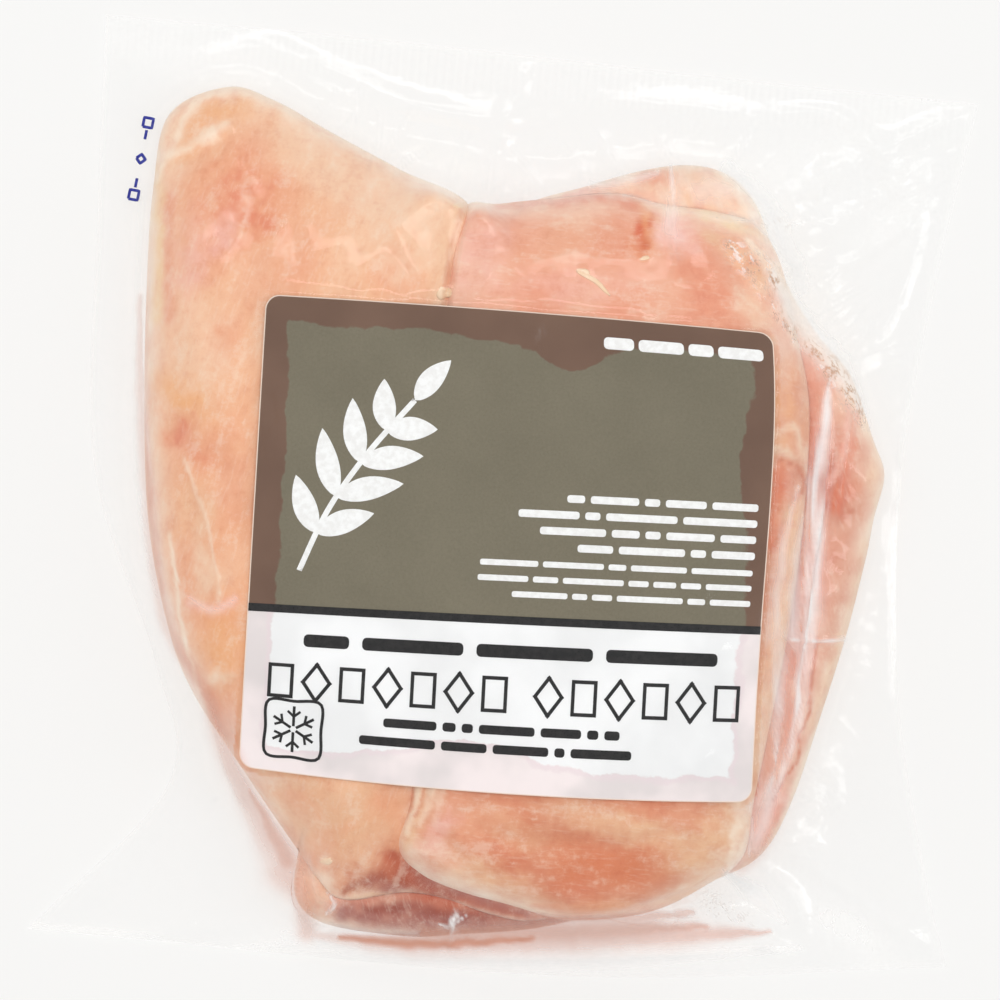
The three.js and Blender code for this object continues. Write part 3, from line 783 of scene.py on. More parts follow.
UNDER_PATCHES = [
    (PALE, 0.8, 20, 62, 9, 3, 12), (ROSE, 0.65, 30.6, 64.4, 3.4, 1.6, 12),
    (PINK, 0.8, 14, 60.4, 8, 1.6, 10), (WHEAT, 0.9, 39, 61, 8, 5, 160), (CREAM, 0.9, 49, 60.6, 5, 6, 0),
    (MILK, 0.8, (1, 2, 2), [(45, 65), (50, 60.6), (53.6, 53)]),
    (CREAM, 0.95, (4, 3.4, 3, 2.2), [(55, 48), (60, 37.6), (66, 29.4), (72, 20)]),
    (CREAM, 0.8, 71, 26, 8, 3, 118), (ROSE, 0.7, 67.4, 0.4, 4.5, 2.2, 20),
    (SIENNA, 0.7, 65.4, 3, 8, 4.2, 95), (ROSE, 0.5, 1, [(71, 16), (70, 8), (66.8, -2)]),
    (PINK, 0.6, 0.8, [(69.4, 18), (68.4, 8), (66, 3)]), (PALE, 0.6, 75, 5, 10, 1.6, 96),
    (BUFF, 0.6, 1.5, [(74, -10), (69, -29), (63, -46)]), (PINK, 0.8, 54, -65, 9, 3.6, 72),
    (CREAM, 0.7, 0.8, [(64, -46), (58, -62), (52, -74)]),
    (TAUPE, 0.95, (2.4, 3.4, 3.2), [(-32, -84), (-14, -85.4), (10, -86.4)]),
    # painted shade, partly the meat's own colour: a dark line just below the left breast's lower edge
    (LIVER, 0.85, (0.6, 2, 2.2, 0.6), [(-28, -83), (-18, -83.4), (-10, -84.2), (-2, -84.8)]),
    (MUSHROOM, 0.7, 0.9, [(-34, -87.6), (-20, -88.6), (-6, -88.2), (8, -87)]),
    (PALE, 0.95, -39, -80, 7, 4.4, 80), (TAN, 0.6, -36.6, -77.6, 3.4, 1.6, 70),
    # painted shade, partly the meat's own colour: a dark line just below the right breast's lip
    (BRICK, 0.9, 2.2, [(-20, -78), (-10, -81), (2, -83.2), (12, -84.4)]),
    (CLAY, 0.7, 0.4, [(63, -29.6), (61.4, -43.2), (58.6, -53.8), (54.2, -61)]),
    (CLAY, 0.6, 0.35, [(60.6, 1), (60.2, -12), (58.6, -28)]),
]


def shape_cover(x, y, shape, fall=2.4):
    """How far a patch or a line covers each place, from 0 to 1; a line may have several half widths,
    spaced along it."""
    if isinstance(shape[1], list):
        widths = np.atleast_1d(shape[0])
        distance, along, _ = nearest(x, y, smooth_curve(shape[1], closed=False))
        return np.exp(-((distance / np.interp(along, np.linspace(0, 1, len(widths)), widths)) ** fall))
    centre_x, centre_y, length, width, angle = shape
    along, across = turned(x - centre_x, y - centre_y, -math.radians(angle))
    return np.exp(-(((along / length) ** 2 + (across / width) ** 2) ** 1.3))


RIM_PAINTED_LIGHT, RIM_REACH, RIM_MOST = 1.05, 2.6, 0.92    # painted light on the rim: how pale it makes the rim, and how far in
DEPTH_OF_COLOUR = 1.19   # above 1, strong colours are deepened more than pale ones
MEAT_LINES = 200         # lines of a piece of meat's grid each way


def wander(x, y, *seeds):
    """How far the edges of patches stray, in large, middling and small swells."""
    swells = zip((1.3, 0.6, 0.4), (10, 3.4, 1.5), seeds)
    return sum(amount * waves(x, y, size, seed) for amount, size, seed in swells)


def flesh_colours(x, y, edge_distance, upper, lower, table):
    """Colours of a piece of meat: upper shades into lower down its length, partly the meat's own tone and
    partly painted shade, darker towards the bottom end as if lit from the top; light is painted onto its rim
    as paler colour; and the table's patches lie over both."""
    wander_x, wander_y = wander(x, y, 51, 53, 60), wander(x, y, 52, 54, 61)
    # partly the meat's own tone and partly painted shade: the colour runs from upper to the darker, redder
    # lower colour down the piece
    share = smooth(0.5 - (y + 5 * waves(x, y, 30, 55)) / 130)[:, None]
    colours = mix(np.array(upper[:3]), np.array(lower[:3]), share)
    blush = np.clip(0.24 * waves(x, y, 16, 56), -0.3, 0.3)[:, None]
    colours = mix(colours, np.array(np.where(blush > 0, ROSE[:3], PALE[:3])), np.abs(blush))
    # light painted onto the rim: the colour turns paler towards the outline
    rim = RIM_PAINTED_LIGHT * np.exp(-np.maximum(edge_distance, 0) / RIM_REACH) * (1 + 0.3 * waves(x, y, 8, 58))
    colours = mix(colours, np.array(CREAM[:3]), np.clip(rim, 0, RIM_MOST)[:, None])
    for colour, strength, *shape in table:
        reach = 0.2 if isinstance(shape[1], list) else min(1.0, shape[3] / 4)
        cover = shape_cover(x + reach * wander_x, y + reach * wander_y, shape)
        cover = strength * cover * np.clip(1 + 0.18 * waves(x, y, 4, 57), 0, 1.2)
        colours = mix(colours, np.array(colour[:3]), np.clip(cover, 0, 1)[:, None])
    red = colours[:, :1]
    return red * (colours / red) ** DEPTH_OF_COLOUR


def meat_piece(name, points, corners, top_of, rim_of, floor_of, fibre_angle, upper, lower, table):
    """A closed piece of meat with its colours painted on."""
    x, y = patch(points, corners, MEAT_LINES, MEAT_LINES, crowd=0.6)
    outline = smooth_curve(points)
    top = np.stack([x, y, top_of(x, y)], axis=-1)
    underside = np.minimum(belly(x, y, outline, rim_of(x, y), floor_of(x, y)), top[..., 2])
    under = np.stack([x, y, underside], axis=-1)
    material = meat_material(name + "_flesh", fibre_angle)
    piece = mesh_object(name, *shell(top, under), material, "raw_chicken")
    px, py, _ = positions(piece)
    edge_distance = inside_distance(px, py, outline)
    paint(piece, "flesh", *flesh_colours(px, py, edge_distance, upper, lower, table).T)
    return piece


# Scraps of fat on the front breasts: x, y, half length, half width, angle in degrees.
FAT_SCRAPS = [
    (18.4, 43, 3.9, 0.55, 142), (16.2, 45, 1.5, 0.5, 155), (-11.8, 40.6, 1.5, 1.3, 60),
    (-8.6, 58.4, 1.2, 0.7, 30), (-35.4, -73.4, 1.2, 0.7, 20), (28.4, 47.6, 1.2, 0.4, 15),
]
FAT_RISE = 0.3
FAT_ROWS, FAT_COLUMNS = 7, 20


def blob(x, y, length, width, angle, seed):
    """A scrap of fat that lies on the front breasts: a flattened lump, wavy all round."""
    rows, columns = FAT_ROWS, FAT_COLUMNS
    tilt = np.linspace(-math.pi / 2, math.pi / 2, rows + 2)[1:-1, None]
    turn = np.linspace(0, 2 * math.pi, columns, endpoint=False)[None]
    rng = np.random.default_rng(SEED + seed)
    phases = rng.uniform(0, 2 * math.pi, 3)
    rough = np.cos(tilt)
    for amount, lobes, phase in zip((0.16, 0.12, 0.08), (2, 3, 5), phases):
        rough = rough + np.cos(tilt) * amount * np.cos(lobes * turn + phase)
    u, v = length * np.cos(turn) * rough, width * np.sin(turn) * rough
    across, up = turned(u, v + 0.12 * u**2 / max(length, 1), math.radians(angle))
    height = front_meat(x + across, y + up) + FAT_RISE * np.sin(tilt)
    points = np.stack([x + across, y + up, height], axis=-1)
    ring = np.arange(rows * columns).reshape(rows, columns)
    ring = np.concatenate([ring, ring[:, :1]], axis=1)
    faces = [list(face) for face in grid_faces(ring, flip=True)]
    first, last = rows * columns, rows * columns + 1
    ends = [points[0].mean(axis=0), points[-1].mean(axis=0)]
    for k in range(columns):
        faces.append([first, ring[0, k + 1], ring[0, k]])
        faces.append([last, ring[-1, k], ring[-1, k + 1]])
    return np.concatenate([points.reshape(-1, 3), ends]), faces


def fat_relief(x, y):
    """How far the scraps of fat stand out of the meat."""
    return FAT_RISE * np.maximum.reduce([shape_cover(x, y, scrap) for scrap in FAT_SCRAPS])


def make_meat():
    def ground(x, y):
        return np.full(np.shape(x), BELLY)

    def on_under(x, y):
        return np.maximum(BELLY, under_top(x, y) + REST_GAP)

    def low_rim(x, y):
        return np.full(np.shape(x), RIM)

    # the second colour of each piece is its lower end's, darker partly as painted shade
    meat_piece("breast_left", LEFT_BREAST, LEFT_CORNERS, left_top, front_rim, on_under, 1.9,
               PEACH, srgb(242, 184, 146), LEFT_PATCHES)
    meat_piece("breast_right", RIGHT_BREAST, RIGHT_CORNERS, right_top, front_rim, on_under, 0.1,
               srgb(240, 184, 158), srgb(216, 142, 108), RIGHT_PATCHES)
    meat_piece("breast_under", UNDER_BREAST, UNDER_CORNERS, under_top, low_rim, ground, 1.3,
               srgb(234, 178, 156), srgb(220, 160, 138), UNDER_PATCHES)
    scraps = [blob(*scrap, 300 + k) for k, scrap in enumerate(FAT_SCRAPS)]
    mesh_object("fat_scraps", *join_parts(scraps), fat_material(), "raw_chicken")


# Label

def label_place(across, up):
    """A place on the label, from its own middle, as it lies between its four corners."""
    u, v = across / LABEL_WIDTH + 0.5, 0.5 - up / LABEL_HEIGHT
    bow = 4 * u * (1 - u) * (LABEL_BOW_TOP * (1 - v) ** 2 - LABEL_BOW_BOTTOM * v**4)
    v = v - LABEL_TWIST * (u - 0.5) * 4 * v * (1 - v)
    top_left, top_right, low_right, low_left = LABEL_CORNERS
    u, v = u[..., None], v[..., None]
    place = mix(mix(top_left, top_right, u), mix(low_left, low_right, u), v)
    down, right = np.clip(v, 0, 1), np.clip(u, 0, 1)
    bulge = LABEL_BOW_RIGHT * BOW_SCALE * down * (1 - down) ** 3 * right**2
    return place[..., 0] + bulge[..., 0], place[..., 1] + bow


def label_coordinates(x, y):
    """The place on the label of a point in plan, the reverse of label_place."""
    across, up = np.zeros(np.shape(x)), np.zeros(np.shape(x))
    for _ in range(4):
        at_x, at_y = label_place(across, up)
        step_x, step_y = x - at_x, y - at_y
        right_x, right_y = label_place(across + 1, up)
        above_x, above_y = label_place(across, up + 1)
        a, b, c, d = right_x - at_x, above_x - at_x, right_y - at_y, above_y - at_y
        scale = a * d - b * c
        across = across + (d * step_x - b * step_y) / scale
        up = up + (a * step_y - c * step_x) / scale
    return across, up


def label_inset(across, up):
    """Distance in from the label's rounded edge, negative outside it."""
    past_x = np.abs(across) - (LABEL_WIDTH / 2 - LABEL_RADIUS)
    past_y = np.abs(up) - (LABEL_HEIGHT / 2 - LABEL_RADIUS)
    outside = np.hypot(np.maximum(past_x, 0), np.maximum(past_y, 0))
    return LABEL_RADIUS - outside - np.minimum(np.maximum(past_x, past_y), 0)


label_columns = np.arange(-LABEL_WIDTH / 2, LABEL_WIDTH / 2 + LABEL_PITCH, LABEL_PITCH)
label_rows = np.arange(-LABEL_HEIGHT / 2, LABEL_HEIGHT / 2 + LABEL_PITCH, LABEL_PITCH)


def lay_label():
    """Heights of the label's underside on a grid over its own rectangle."""
    across, up = np.meshgrid(label_columns, label_rows)
    x, y = label_place(across, up)
    meat = np.maximum(front_meat(x, y), under_top(x, y))
    cockle = 0.1 * waves(across, up, 30, 61) + 0.02 * waves(across, up, 9, 62)
    return settle(meat, LABEL_PITCH, LABEL_BEND, LABEL_STEPS) + LABEL_LIFT + cockle


label_heights = lay_label()


def label_height(across, up):
    column = np.clip((across - label_columns[0]) / LABEL_PITCH, 0, len(label_columns) - 1.001)
    row = np.clip((up - label_rows[0]) / LABEL_PITCH, 0, len(label_rows) - 1.001)
    c, r = column.astype(int), row.astype(int)
    low = mix(label_heights[r, c], label_heights[r, c + 1], column - c)
    high = mix(label_heights[r + 1, c], label_heights[r + 1, c + 1], column - c)
    return mix(low, high, row - r)


def on_label(across, up, lift):
    x, y = label_place(across, up)
    return np.stack([x, y, label_height(across, up) + lift], axis=-1)


# Where juice has crept in: x and y from the label's middle, reach each way, and how much farther in.
CREEP = [
    (-3, 43, 8, 4, 2.4), (11, 37, 8, 6, 6.2), (50, 0, 4, 44, -1.9), (48, 19.5, 5, 8, 2.8),
    (-6, -38, 14, 7, 4.8), (30, -45, 18, 3, -1), (-47, 5, 4, 20, 0.8), (-30, 45, 14, 3, 0.8),
]
DAMP_SPAN, INSET_SPAN = 20, 4    # millimetres over which the painted values run from 0 to 1


def damp_depth(across, up):
    """How far a place is from the label's wet edge, in millimetres, less where juice has crept in."""
    depth = label_inset(across, up)
    for centre_x, centre_y, reach_x, reach_y, amount in CREEP:
        depth = depth - amount * bell(across - centre_x, reach_x) * bell(up - centre_y, reach_y)
    return depth


def make_label(material):
    """The paper label, with its corners rounded off."""
    straight = LABEL_HEIGHT / 2 - LABEL_RADIUS
    turns = np.linspace(0, math.pi / 2, 9)[1:]
    middle = np.linspace(straight, -straight, 150)
    round_top = straight + LABEL_RADIUS * np.sin(turns[::-1])
    ups = np.concatenate([round_top, middle, -round_top[::-1]])
    cut = LABEL_RADIUS * (1 - np.cos(turns))
    halves = LABEL_WIDTH / 2 - np.concatenate([cut[::-1], np.zeros(len(middle)), cut])
    across = halves[:, None] * np.linspace(-1, 1, 168)[None]
    up = np.broadcast_to(ups[:, None], across.shape)
    paper = thin_shell(on_label(across, up, LABEL_THICK), on_label(across, up, 0.0))
    label = mesh_object("label_sheet", *paper, material, "label_paper")
    label.data.set_sharp_from_angle(angle=SHARP_FOLD)
    px, py, _ = positions(label)
    at_across, at_up = label_coordinates(px, py)
    share_up = 0.5 + (at_up - BAND_UP) / (2 * LABEL_HEIGHT)
    inset = label_inset(at_across, at_up) / INSET_SPAN
    paint(label, "paper", damp_depth(at_across, at_up) / DAMP_SPAN, share_up, inset)
    return label


# Print, in millimetres from the label's middle

PRINT_LIFT = LABEL_THICK + 0.03
PRINT_THICK = 0.04
TILE_WIDTH, TILE_HEIGHT, TILE_LINE = 4.4, 6.2, 0.7


def print_patch(across, up):
    """A flat printed shape from a grid of places on the label."""
    top = on_label(across, up, PRINT_LIFT + PRINT_THICK)
    return thin_shell(top, on_label(across, up, PRINT_LIFT))


def bar(left, low, width, height, corner=None):
    """A bar with rounded corners."""
    corner = min(height, width) / 2 * 0.7 if corner is None else corner
    turns = np.linspace(0, math.pi / 2, 4)
    straight = np.linspace(corner, width - corner, max(3, int(width / 1.5)))[1:-1]
    xs = np.concatenate([corner - corner * np.cos(turns), straight, width - corner + corner * np.sin(turns)])
    trim = np.where(xs < corner, corner - xs, np.where(xs > width - corner, xs - (width - corner), 0))
    half = height / 2 - corner + np.sqrt(np.maximum(corner**2 - trim**2, 0))
    half = np.maximum(half, 0.02)
    across = left + np.broadcast_to(xs[None], (4, len(xs)))
    up = low + height / 2 + np.linspace(1, -1, 4)[:, None] * half[None]
    return print_patch(across, up)


def words(right, low, height, lengths, gap):
    """A line of word-length bars that ends at the right."""
    parts, edge = [], right
    for length in reversed(lengths):
        parts.append(bar(edge - length, low, length, height))
        edge -= length + gap
    return parts


def leaf(root_x, root_y, angle, length, width):
    """A pointed leaf that springs from a root at an angle in degrees."""
    along = np.linspace(0, 1, 16)[None]
    across = np.linspace(1, -1, 6)[:, None]
    half = width / 2 * np.maximum(np.sin(math.pi * along**0.85) ** 0.8, 0.015)
    bend = 0.12 * length * along * (1 - along)
    x, y = turned(length * along, across * half + bend, math.radians(angle))
    return print_patch(root_x + x, root_y + y)


def stroke(points, width):
    """A line of even width through points."""
    line = smooth_curve(points, closed=False, steps=16)
    length = np.hypot(*np.diff(line, axis=0).T).sum()
    line = resample(line, np.linspace(0, 1, max(6, int(length / 0.8))))
    run = np.gradient(line, axis=0)
    run /= np.hypot(*run.T)[:, None]
    offset = np.linspace(1, -1, 3)[:, None] * width / 2
    return print_patch(line[:, 0] - offset * run[:, 1], line[:, 1] + offset * run[:, 0])


def straight_stroke(start, end, width):
    return stroke([start, (start + end) / 2, end], width)


def outline_tile(centre_x, centre_y, pointed):
    """A tall thin-lined shape: a lozenge or an upright box."""
    if pointed:
        corners = np.array([(0.6, 0), (0, 0.58), (-0.6, 0), (0, -0.58)])
    else:
        corners = np.array([(0.5, 0.5), (-0.5, 0.5), (-0.5, -0.5), (0.5, -0.5)])
    corners = (centre_x, centre_y) + corners * (TILE_WIDTH, TILE_HEIGHT)
    parts = []
    for start, end in zip(corners, np.roll(corners, -1, axis=0)):
        overlap = (end - start) / np.hypot(*(end - start)) * TILE_LINE / 2
        parts.append(straight_stroke(start - overlap, end + overlap, TILE_LINE))
    return parts


def sprig():
    """A leafy sprig in the label's left half."""
    stem = [(-41.0, -6.0), (-36.0, 6.0), (-29.0, 17.0), (-20.0, 28.0)]
    line = smooth_curve(stem, closed=False, steps=10)
    parts = [stroke(stem, 1.1)]
    for share, length in ((0.2, 12), (0.4, 13.5), (0.6, 12.5), (0.8, 10)):
        root = resample(line, np.array([share]))[0]
        ahead = resample(line, np.array([share + 0.05]))[0]
        heading = math.degrees(math.atan2(ahead[1] - root[1], ahead[0] - root[0]))
        for turn in (46, -46):
            parts.append(leaf(root[0], root[1], heading + turn, length, 4.6))
    tip = line[-1]
    parts.append(leaf(tip[0], tip[1], 50, 10.5, 4.4))
    return parts


def snowflake(centre_x, centre_y, radius):
    """Six barbed arms, the usual sign for keeping a thing cold."""
    parts = []
    centre = np.array([centre_x, centre_y])
    for k in range(6):
        turn = math.radians(60 * k + 30)
        run = radius * np.array(turned(1, 0, turn))
        parts.append(stroke([centre + run * 0.6 / radius, centre + run / 2, centre + run], 0.55))
        for lean in (50, -50):
            start = centre + run * 0.55
            barb = 0.36 * radius * np.array(turned(1, 0, turn + math.radians(lean)))
            parts.append(straight_stroke(start, start + barb, 0.5))
    return parts


def print_object(name, parts, material):
    piece = mesh_object(name, *join_parts(parts), material, "label_print")
    piece.data.set_sharp_from_angle(angle=SHARP_FOLD)
    return piece


# The lengths of the word bars in each line of the larger and the smaller white print.
LARGER_LINES = [(3.5, 9.5, 3, 8, 9), (12, 3, 14, 14.5), (13, 5.5, 3, 9.5, 7), (7, 13, 3, 8.5)]
SMALLER_LINES = [(11.5, 12, 3.5, 11, 12), (10, 5, 12, 4, 4.5, 4, 9), (11, 3, 4, 13, 3.5, 8)]
MARK_RING = [
    (-45.9, -37.6), (-45.6, -43), (-40.4, -43.2), (-35.2, -43), (-34.9, -37.6), (-35.2, -32.2),
    (-40.4, -32), (-45.6, -32.2),
]


def make_print():
    white = ink_material("white_ink", srgb(240, 239, 236), srgb(250, 250, 248), 1.2)
    black = ink_material("black_ink", srgb(30, 27, 26), srgb(12, 11, 11), 1.2)
    print_object("print_sprig", sprig(), white)
    small_white = words(48.6, 40.3, 2.4, [6, 9, 5, 9], 0.9)
    for row, lengths in enumerate(LARGER_LINES):
        small_white += words(48.4, 9.6 - row * 3.2, 1.5, lengths, 1.1)
    for row, lengths in enumerate(SMALLER_LINES):
        small_white += words(48.2, -3.2 - row * 3.0, 1.15, lengths, 0.9)
    print_object("print_white_lines", small_white, white)
    rule = [stroke([(-50.6, BAND_UP - 0.2), (0.0, BAND_UP - 0.2), (50.6, BAND_UP - 0.2)], 1.6)]
    print_object("print_rule", rule, black)
    heading = words(42.5, -21.0, 2.5, [9, 20, 23, 22], 2.6)
    for k in range(13):
        heading += outline_tile(-43.4 + 7.05 * k + (3.6 if k > 6 else 0), -28.0, k % 2 == 1)
    print_object("print_heading", heading, black)
    small_black = words(24.0, -35.6, 1.7, [10.5, 2.6, 2.2, 11, 8, 2.2, 3], 1.2)
    small_black += words(26.5, -39.2, 1.7, [15, 9, 11, 2, 12], 1.2)
    print_object("print_small_lines", small_black, black)
    mark = snowflake(-40.4, -37.6, 4.6)
    outline = smooth_curve(MARK_RING, steps=6)
    mark.append(stroke(np.concatenate([outline, outline[:1]]), 0.6))
    print_object("print_cold_mark", mark, black)


# Film

# Folds in the film: the points they run through, height and half width, in millimetres.
MARGIN_FOLDS = [
    ([(-50, 96), (-36, 82), (-9, 77), (14, 75)], 1.6, 3.4),
    ([(-62, 88), (-46, 90), (-20, 80), (2, 72)], 1, 2.2), ([(-4, 62), (0, 74), (6, 88)], 1.6, 3),
    ([(14, 80), (40, 78), (62, 74)], 1.4, 3.2), ([(56, 77), (65, 77), (75, 71), (80, 61)], 2, 1.6),
    ([(58, 60), (74, 68), (92, 77)], 2.8, 2.6), ([(60, 50), (76, 60), (90, 70)], 1.8, 2),
    ([(64, 42), (78, 52), (87, 60)], 1.6, 2), ([(66, 76), (67, 70), (65, 64)], 1.2, 1),
    ([(69, 76), (71, 71), (70, 66)], 1, 0.9), ([(72, 27), (80, 40), (85, 56)], 1.2, 1.8),
    ([(50, -74), (58, -80), (61, -89)], 2.2, 1.2), ([(42, -81), (50, -86), (57, -90)], 1.6, 1.1),
    ([(55, -68), (70, -80), (84, -90)], 2.6, 3.2), ([(44, -84), (52, -90), (60, -95)], 1.4, 2.4),
    ([(-42, -84), (-60, -88), (-88, -92)], 1.8, 3), ([(-44, -78), (-54, -83), (-70, -89)], 1.3, 1.8),
    ([(-30, -92), (10, -93.5), (50, -92)], 0.9, 1.6), ([(-74, 60), (-79, 40), (-80, 18)], 1, 2.2),
    ([(-76, -2), (-72, -20), (-67, -36)], 1.2, 1.6), ([(76, -4), (78, -20), (78, -40)], 0.9, 1.8),
]
TIGHT_FOLDS = [
    ([(46, 56.4), (54, 55.2), (62, 55.2)], 0.35, 0.9), ([(33.8, 68.4), (34, 64), (34.2, 59.4)], 0.4, 0.8),
    ([(66, 20), (65, 3), (62, -13), (59, -33), (57, -50)], 1.5, 0.9),
    ([(61, -12), (58, -31), (54, -53), (51, -61)], 1.2, 0.8),
    ([(58, -20), (56, -38), (53, -54)], 0.9, 0.6), ([(71, 26), (69, 10), (66, -8)], 0.9, 0.8),
    ([(56.4, -28.6), (62, -29.2), (69.6, -28.8)], 0.6, 0.7), ([(56, 44), (62, 34), (69, 28)], 1, 0.7),
    ([(46, 56), (54, 50), (58, 42)], 0.8, 0.7), ([(34, 66), (33, 56), (34, 46)], 0.7, 0.6),
    ([(-72.5, 52), (-71.4, 19), (-70.2, 4)], 0.7, 0.8),
    ([(-60.6, -40), (-54.6, -56.6), (-49.4, -70), (-45, -80.4)], 0.5, 1.1),
    ([(-41, -73), (-41.6, -81), (-38.6, -86)], 1.2, 0.8),
    ([(-38.6, -72), (-37, -79), (-34, -82)], 0.9, 0.6),
    ([(-34.8, -79.8), (-33.6, -81.8), (-35.2, -84)], 0.6, 0.7),
    ([(-9.2, -83.4), (-10.4, -85.4), (-10, -86.8), (-11, -90.2)], 0.6, 0.6),
    ([(-12.8, -86), (-11.4, -86.4), (-10.2, -86.4)], 0.4, 0.6),
    ([(33, -83), (36, -84.5), (39.5, -84)], 0.9, 0.5), ([(20, -84), (26, -85.5), (31, -85)], 0.6, 0.5),
    ([(8, 34.4), (7.2, 32.6), (6.4, 31.2)], 0.35, 0.3), ([(-20, -84), (-8, -85.5), (4, -86)], 0.6, 1),
]
# Crushed patches of film: x, y, reach along and across, angle in degrees, height, and crumple size.
CRUSHED = [
    (51, 45, 8, 4, 130, 0.7, 3.4), (65, 27, 10, 3.5, 125, 0.7, 3.2), (66, 66, 12, 8, 40, 1.2, 6),
    (48, 57, 7, 4, 160, 0.7, 3), (-36, -83, 5, 4, 60, 0.9, 2.6), (38, -84, 8, 3, 20, 0.9, 2.6),
    (62, -62, 9, 6, 60, 0.8, 4), (80, 62, 10, 10, 0, 0.9, 5), (-9, -88, 6, 4, 0, 0.6, 2.4),
]


def fold_relief(x, y, folds):
    relief = np.zeros(np.shape(x))
    for points, height, width in folds:
        line = smooth_curve(points, closed=False, steps=6)
        low, high = line.min(axis=0) - 3 * width, line.max(axis=0) + 3 * width
        near = (x > low[0]) & (x < high[0]) & (y > low[1]) & (y < high[1])
        distance, along, side = nearest(x[near], y[near], line)
        flank = np.where(side > 0, width, 0.65 * width)
        ends = np.sin(math.pi * mix(0.06, 0.94, along)) ** 0.7
        relief[near] += height * ends * np.exp(-((distance / flank) ** 1.6))
    return relief


def crushed_relief(x, y):
    relief = np.zeros(np.shape(x))
    for k, (centre_x, centre_y, length, width, angle, height, size) in enumerate(CRUSHED):
        along, across = turned(x - centre_x, y - centre_y, -math.radians(angle))
        cover = bell(along, length) * bell(across, width)
        relief = np.maximum(relief, height * cover * crumple(x, y, size, 70 + 2 * k))
    return relief


GATHERS = 110            # small folds round the meat


def gathers():
    """Small folds that cross the meat's outline, where the film is gathered down onto the margin."""
    rng = np.random.default_rng(SEED)
    all_round = LEFT_BREAST[:6] + RIGHT_BREAST[1:4] + UNDER_BREAST[2:23] + LEFT_BREAST[18:]
    outline = smooth_curve(all_round)
    folds = []
    for share in np.sort(rng.uniform(0, 1, GATHERS)):
        i = int(share * len(outline))
        run = outline[(i + 2) % len(outline)] - outline[i - 2]
        out = np.array([-run[1], run[0]]) / max(np.hypot(*run), 1e-6)
        lean = rng.normal(0, 0.35)
        heading = np.array([out[0] - lean * out[1], out[1] + lean * out[0]])
        inner, outer = rng.uniform(1, 5), rng.uniform(4, 15)
        calm = 1.0 if outline[i][1] > 20 and outline[i][0] > -38 else 0.3
        start, end = outline[i] - heading * inner, outline[i] + heading * outer
        middle = (start + end) / 2 + rng.normal(0, 0.8, 2)
        height = calm * rng.uniform(0.15, 0.6)
        folds.append(([start, middle, end], height, rng.uniform(0.5, 1.3)))
    return folds


# Milky patches and streaks of the film, partly painted highlights as marked below, in the same form as the
# meat's patches but for the colour; a line's half widths may be several.
MILKY_AND_HIGHLIGHTS = [
    # Painted highlights, partly milky film, down to the crinkle: white streaks along the folds right of the
    # right breast.
    (0.8, (0.2, 1.2, 1.7, 1.7, 1.9, 2.1, 2.4, 2.6),
     [(65.8, 24), (65.2, 19), (64.7, 15), (64, 9.2), (62.8, 2.2), (62.6, -7.8), (62, -19),
      (60.6, -28.4)]),
    (0.66, (2.5, 1.6, 0.3), [(60, -29.2), (59.4, -43.2), (55.8, -57), (54, -61)]),
    (0.5, (1.3, 0.9, 0.2), [(55.4, -29.8), (54.6, -43.2), (54, -53.8)]),
    # painted highlight, partly milky film: the white line along the crease across the streaks
    (0.7, 0.45, [(57.6, -28.9), (62, -29.2), (68.6, -28.9)]),
    (0.4, (0.3, 1.4, 2), [(59.4, 2), (56.2, -10), (54.6, -28)]),
    (0.5, (0.2, 1.2, 1.8, 1.8), [(61.4, 1), (59.6, -10), (58.6, -20), (57.8, -28)]),
    # painted highlights, partly milky film: the white arms of the crinkles on the strip below the left
    # breast
    (0.9, (0.1, 0.35, 0.5, 0.35, 0.6, 0.5, 0.1),
     [(-9.8, -82.8), (-9.2, -84), (-10.4, -85.4), (-10, -86.8), (-11.2, -88.6), (-10.6, -90.6),
      (-11.4, -92.8)]),
    (0.7, (0.1, 0.4, 0.3), [(-13, -85.8), (-11.6, -86.4), (-10.2, -86.4)]),
    (0.7, (0.1, 0.3, 0.3), [(-7.4, -84.2), (-8.8, -85), (-10.2, -86.2)]),
    (0.7, (0.1, 0.35, 0.3), [(-7.2, -88.6), (-8.8, -87.8), (-10.2, -86.8)]),
    (0.6, (0.35, 0.1), [(-11, -88.2), (-12, -88.6), (-12.8, -89.8)]),
    (0.6, (0.15, 0.4, 0.15), [(-35, -79.6), (-33.8, -81.4), (-35.4, -83.8)]),
    (0.7, (0.4, 1.4, 2, 0.4), [(-60, -92.6), (-20, -94), (20, -93.6), (60, -91.4)]),
    (0.4, (0.3, 0.8, 0.3), [(44, -75), (49, -78.6), (57, -86)]),
    (0.5, (0.15, 0.5, 0.15), [(49.8, -62), (50, -68), (49, -73.6)]),
    (0.5, (0.1, 0.5, 0.1), [(52.6, -61.4), (54.6, -66), (52.6, -71.6)]),
    # the first line is a painted highlight, partly milky film: a pale streak down the left breast's left
    # edge
    (0.5, 0.5, [(-73, 60), (-74, 30), (-73.4, 0), (-70, -20)]), (0.4, 80, 58, 14, 4, 62),
    (0.35, 70, 72, 22, 4, 25), (0.3, 66, -84, 16, 4, 320), (0.35, -66, 90, 16, 4, 170),
    (0.8, 0.4, [(-96, -87), (-76, -88.6), (-58, -91.6), (-42, -90)]),
]
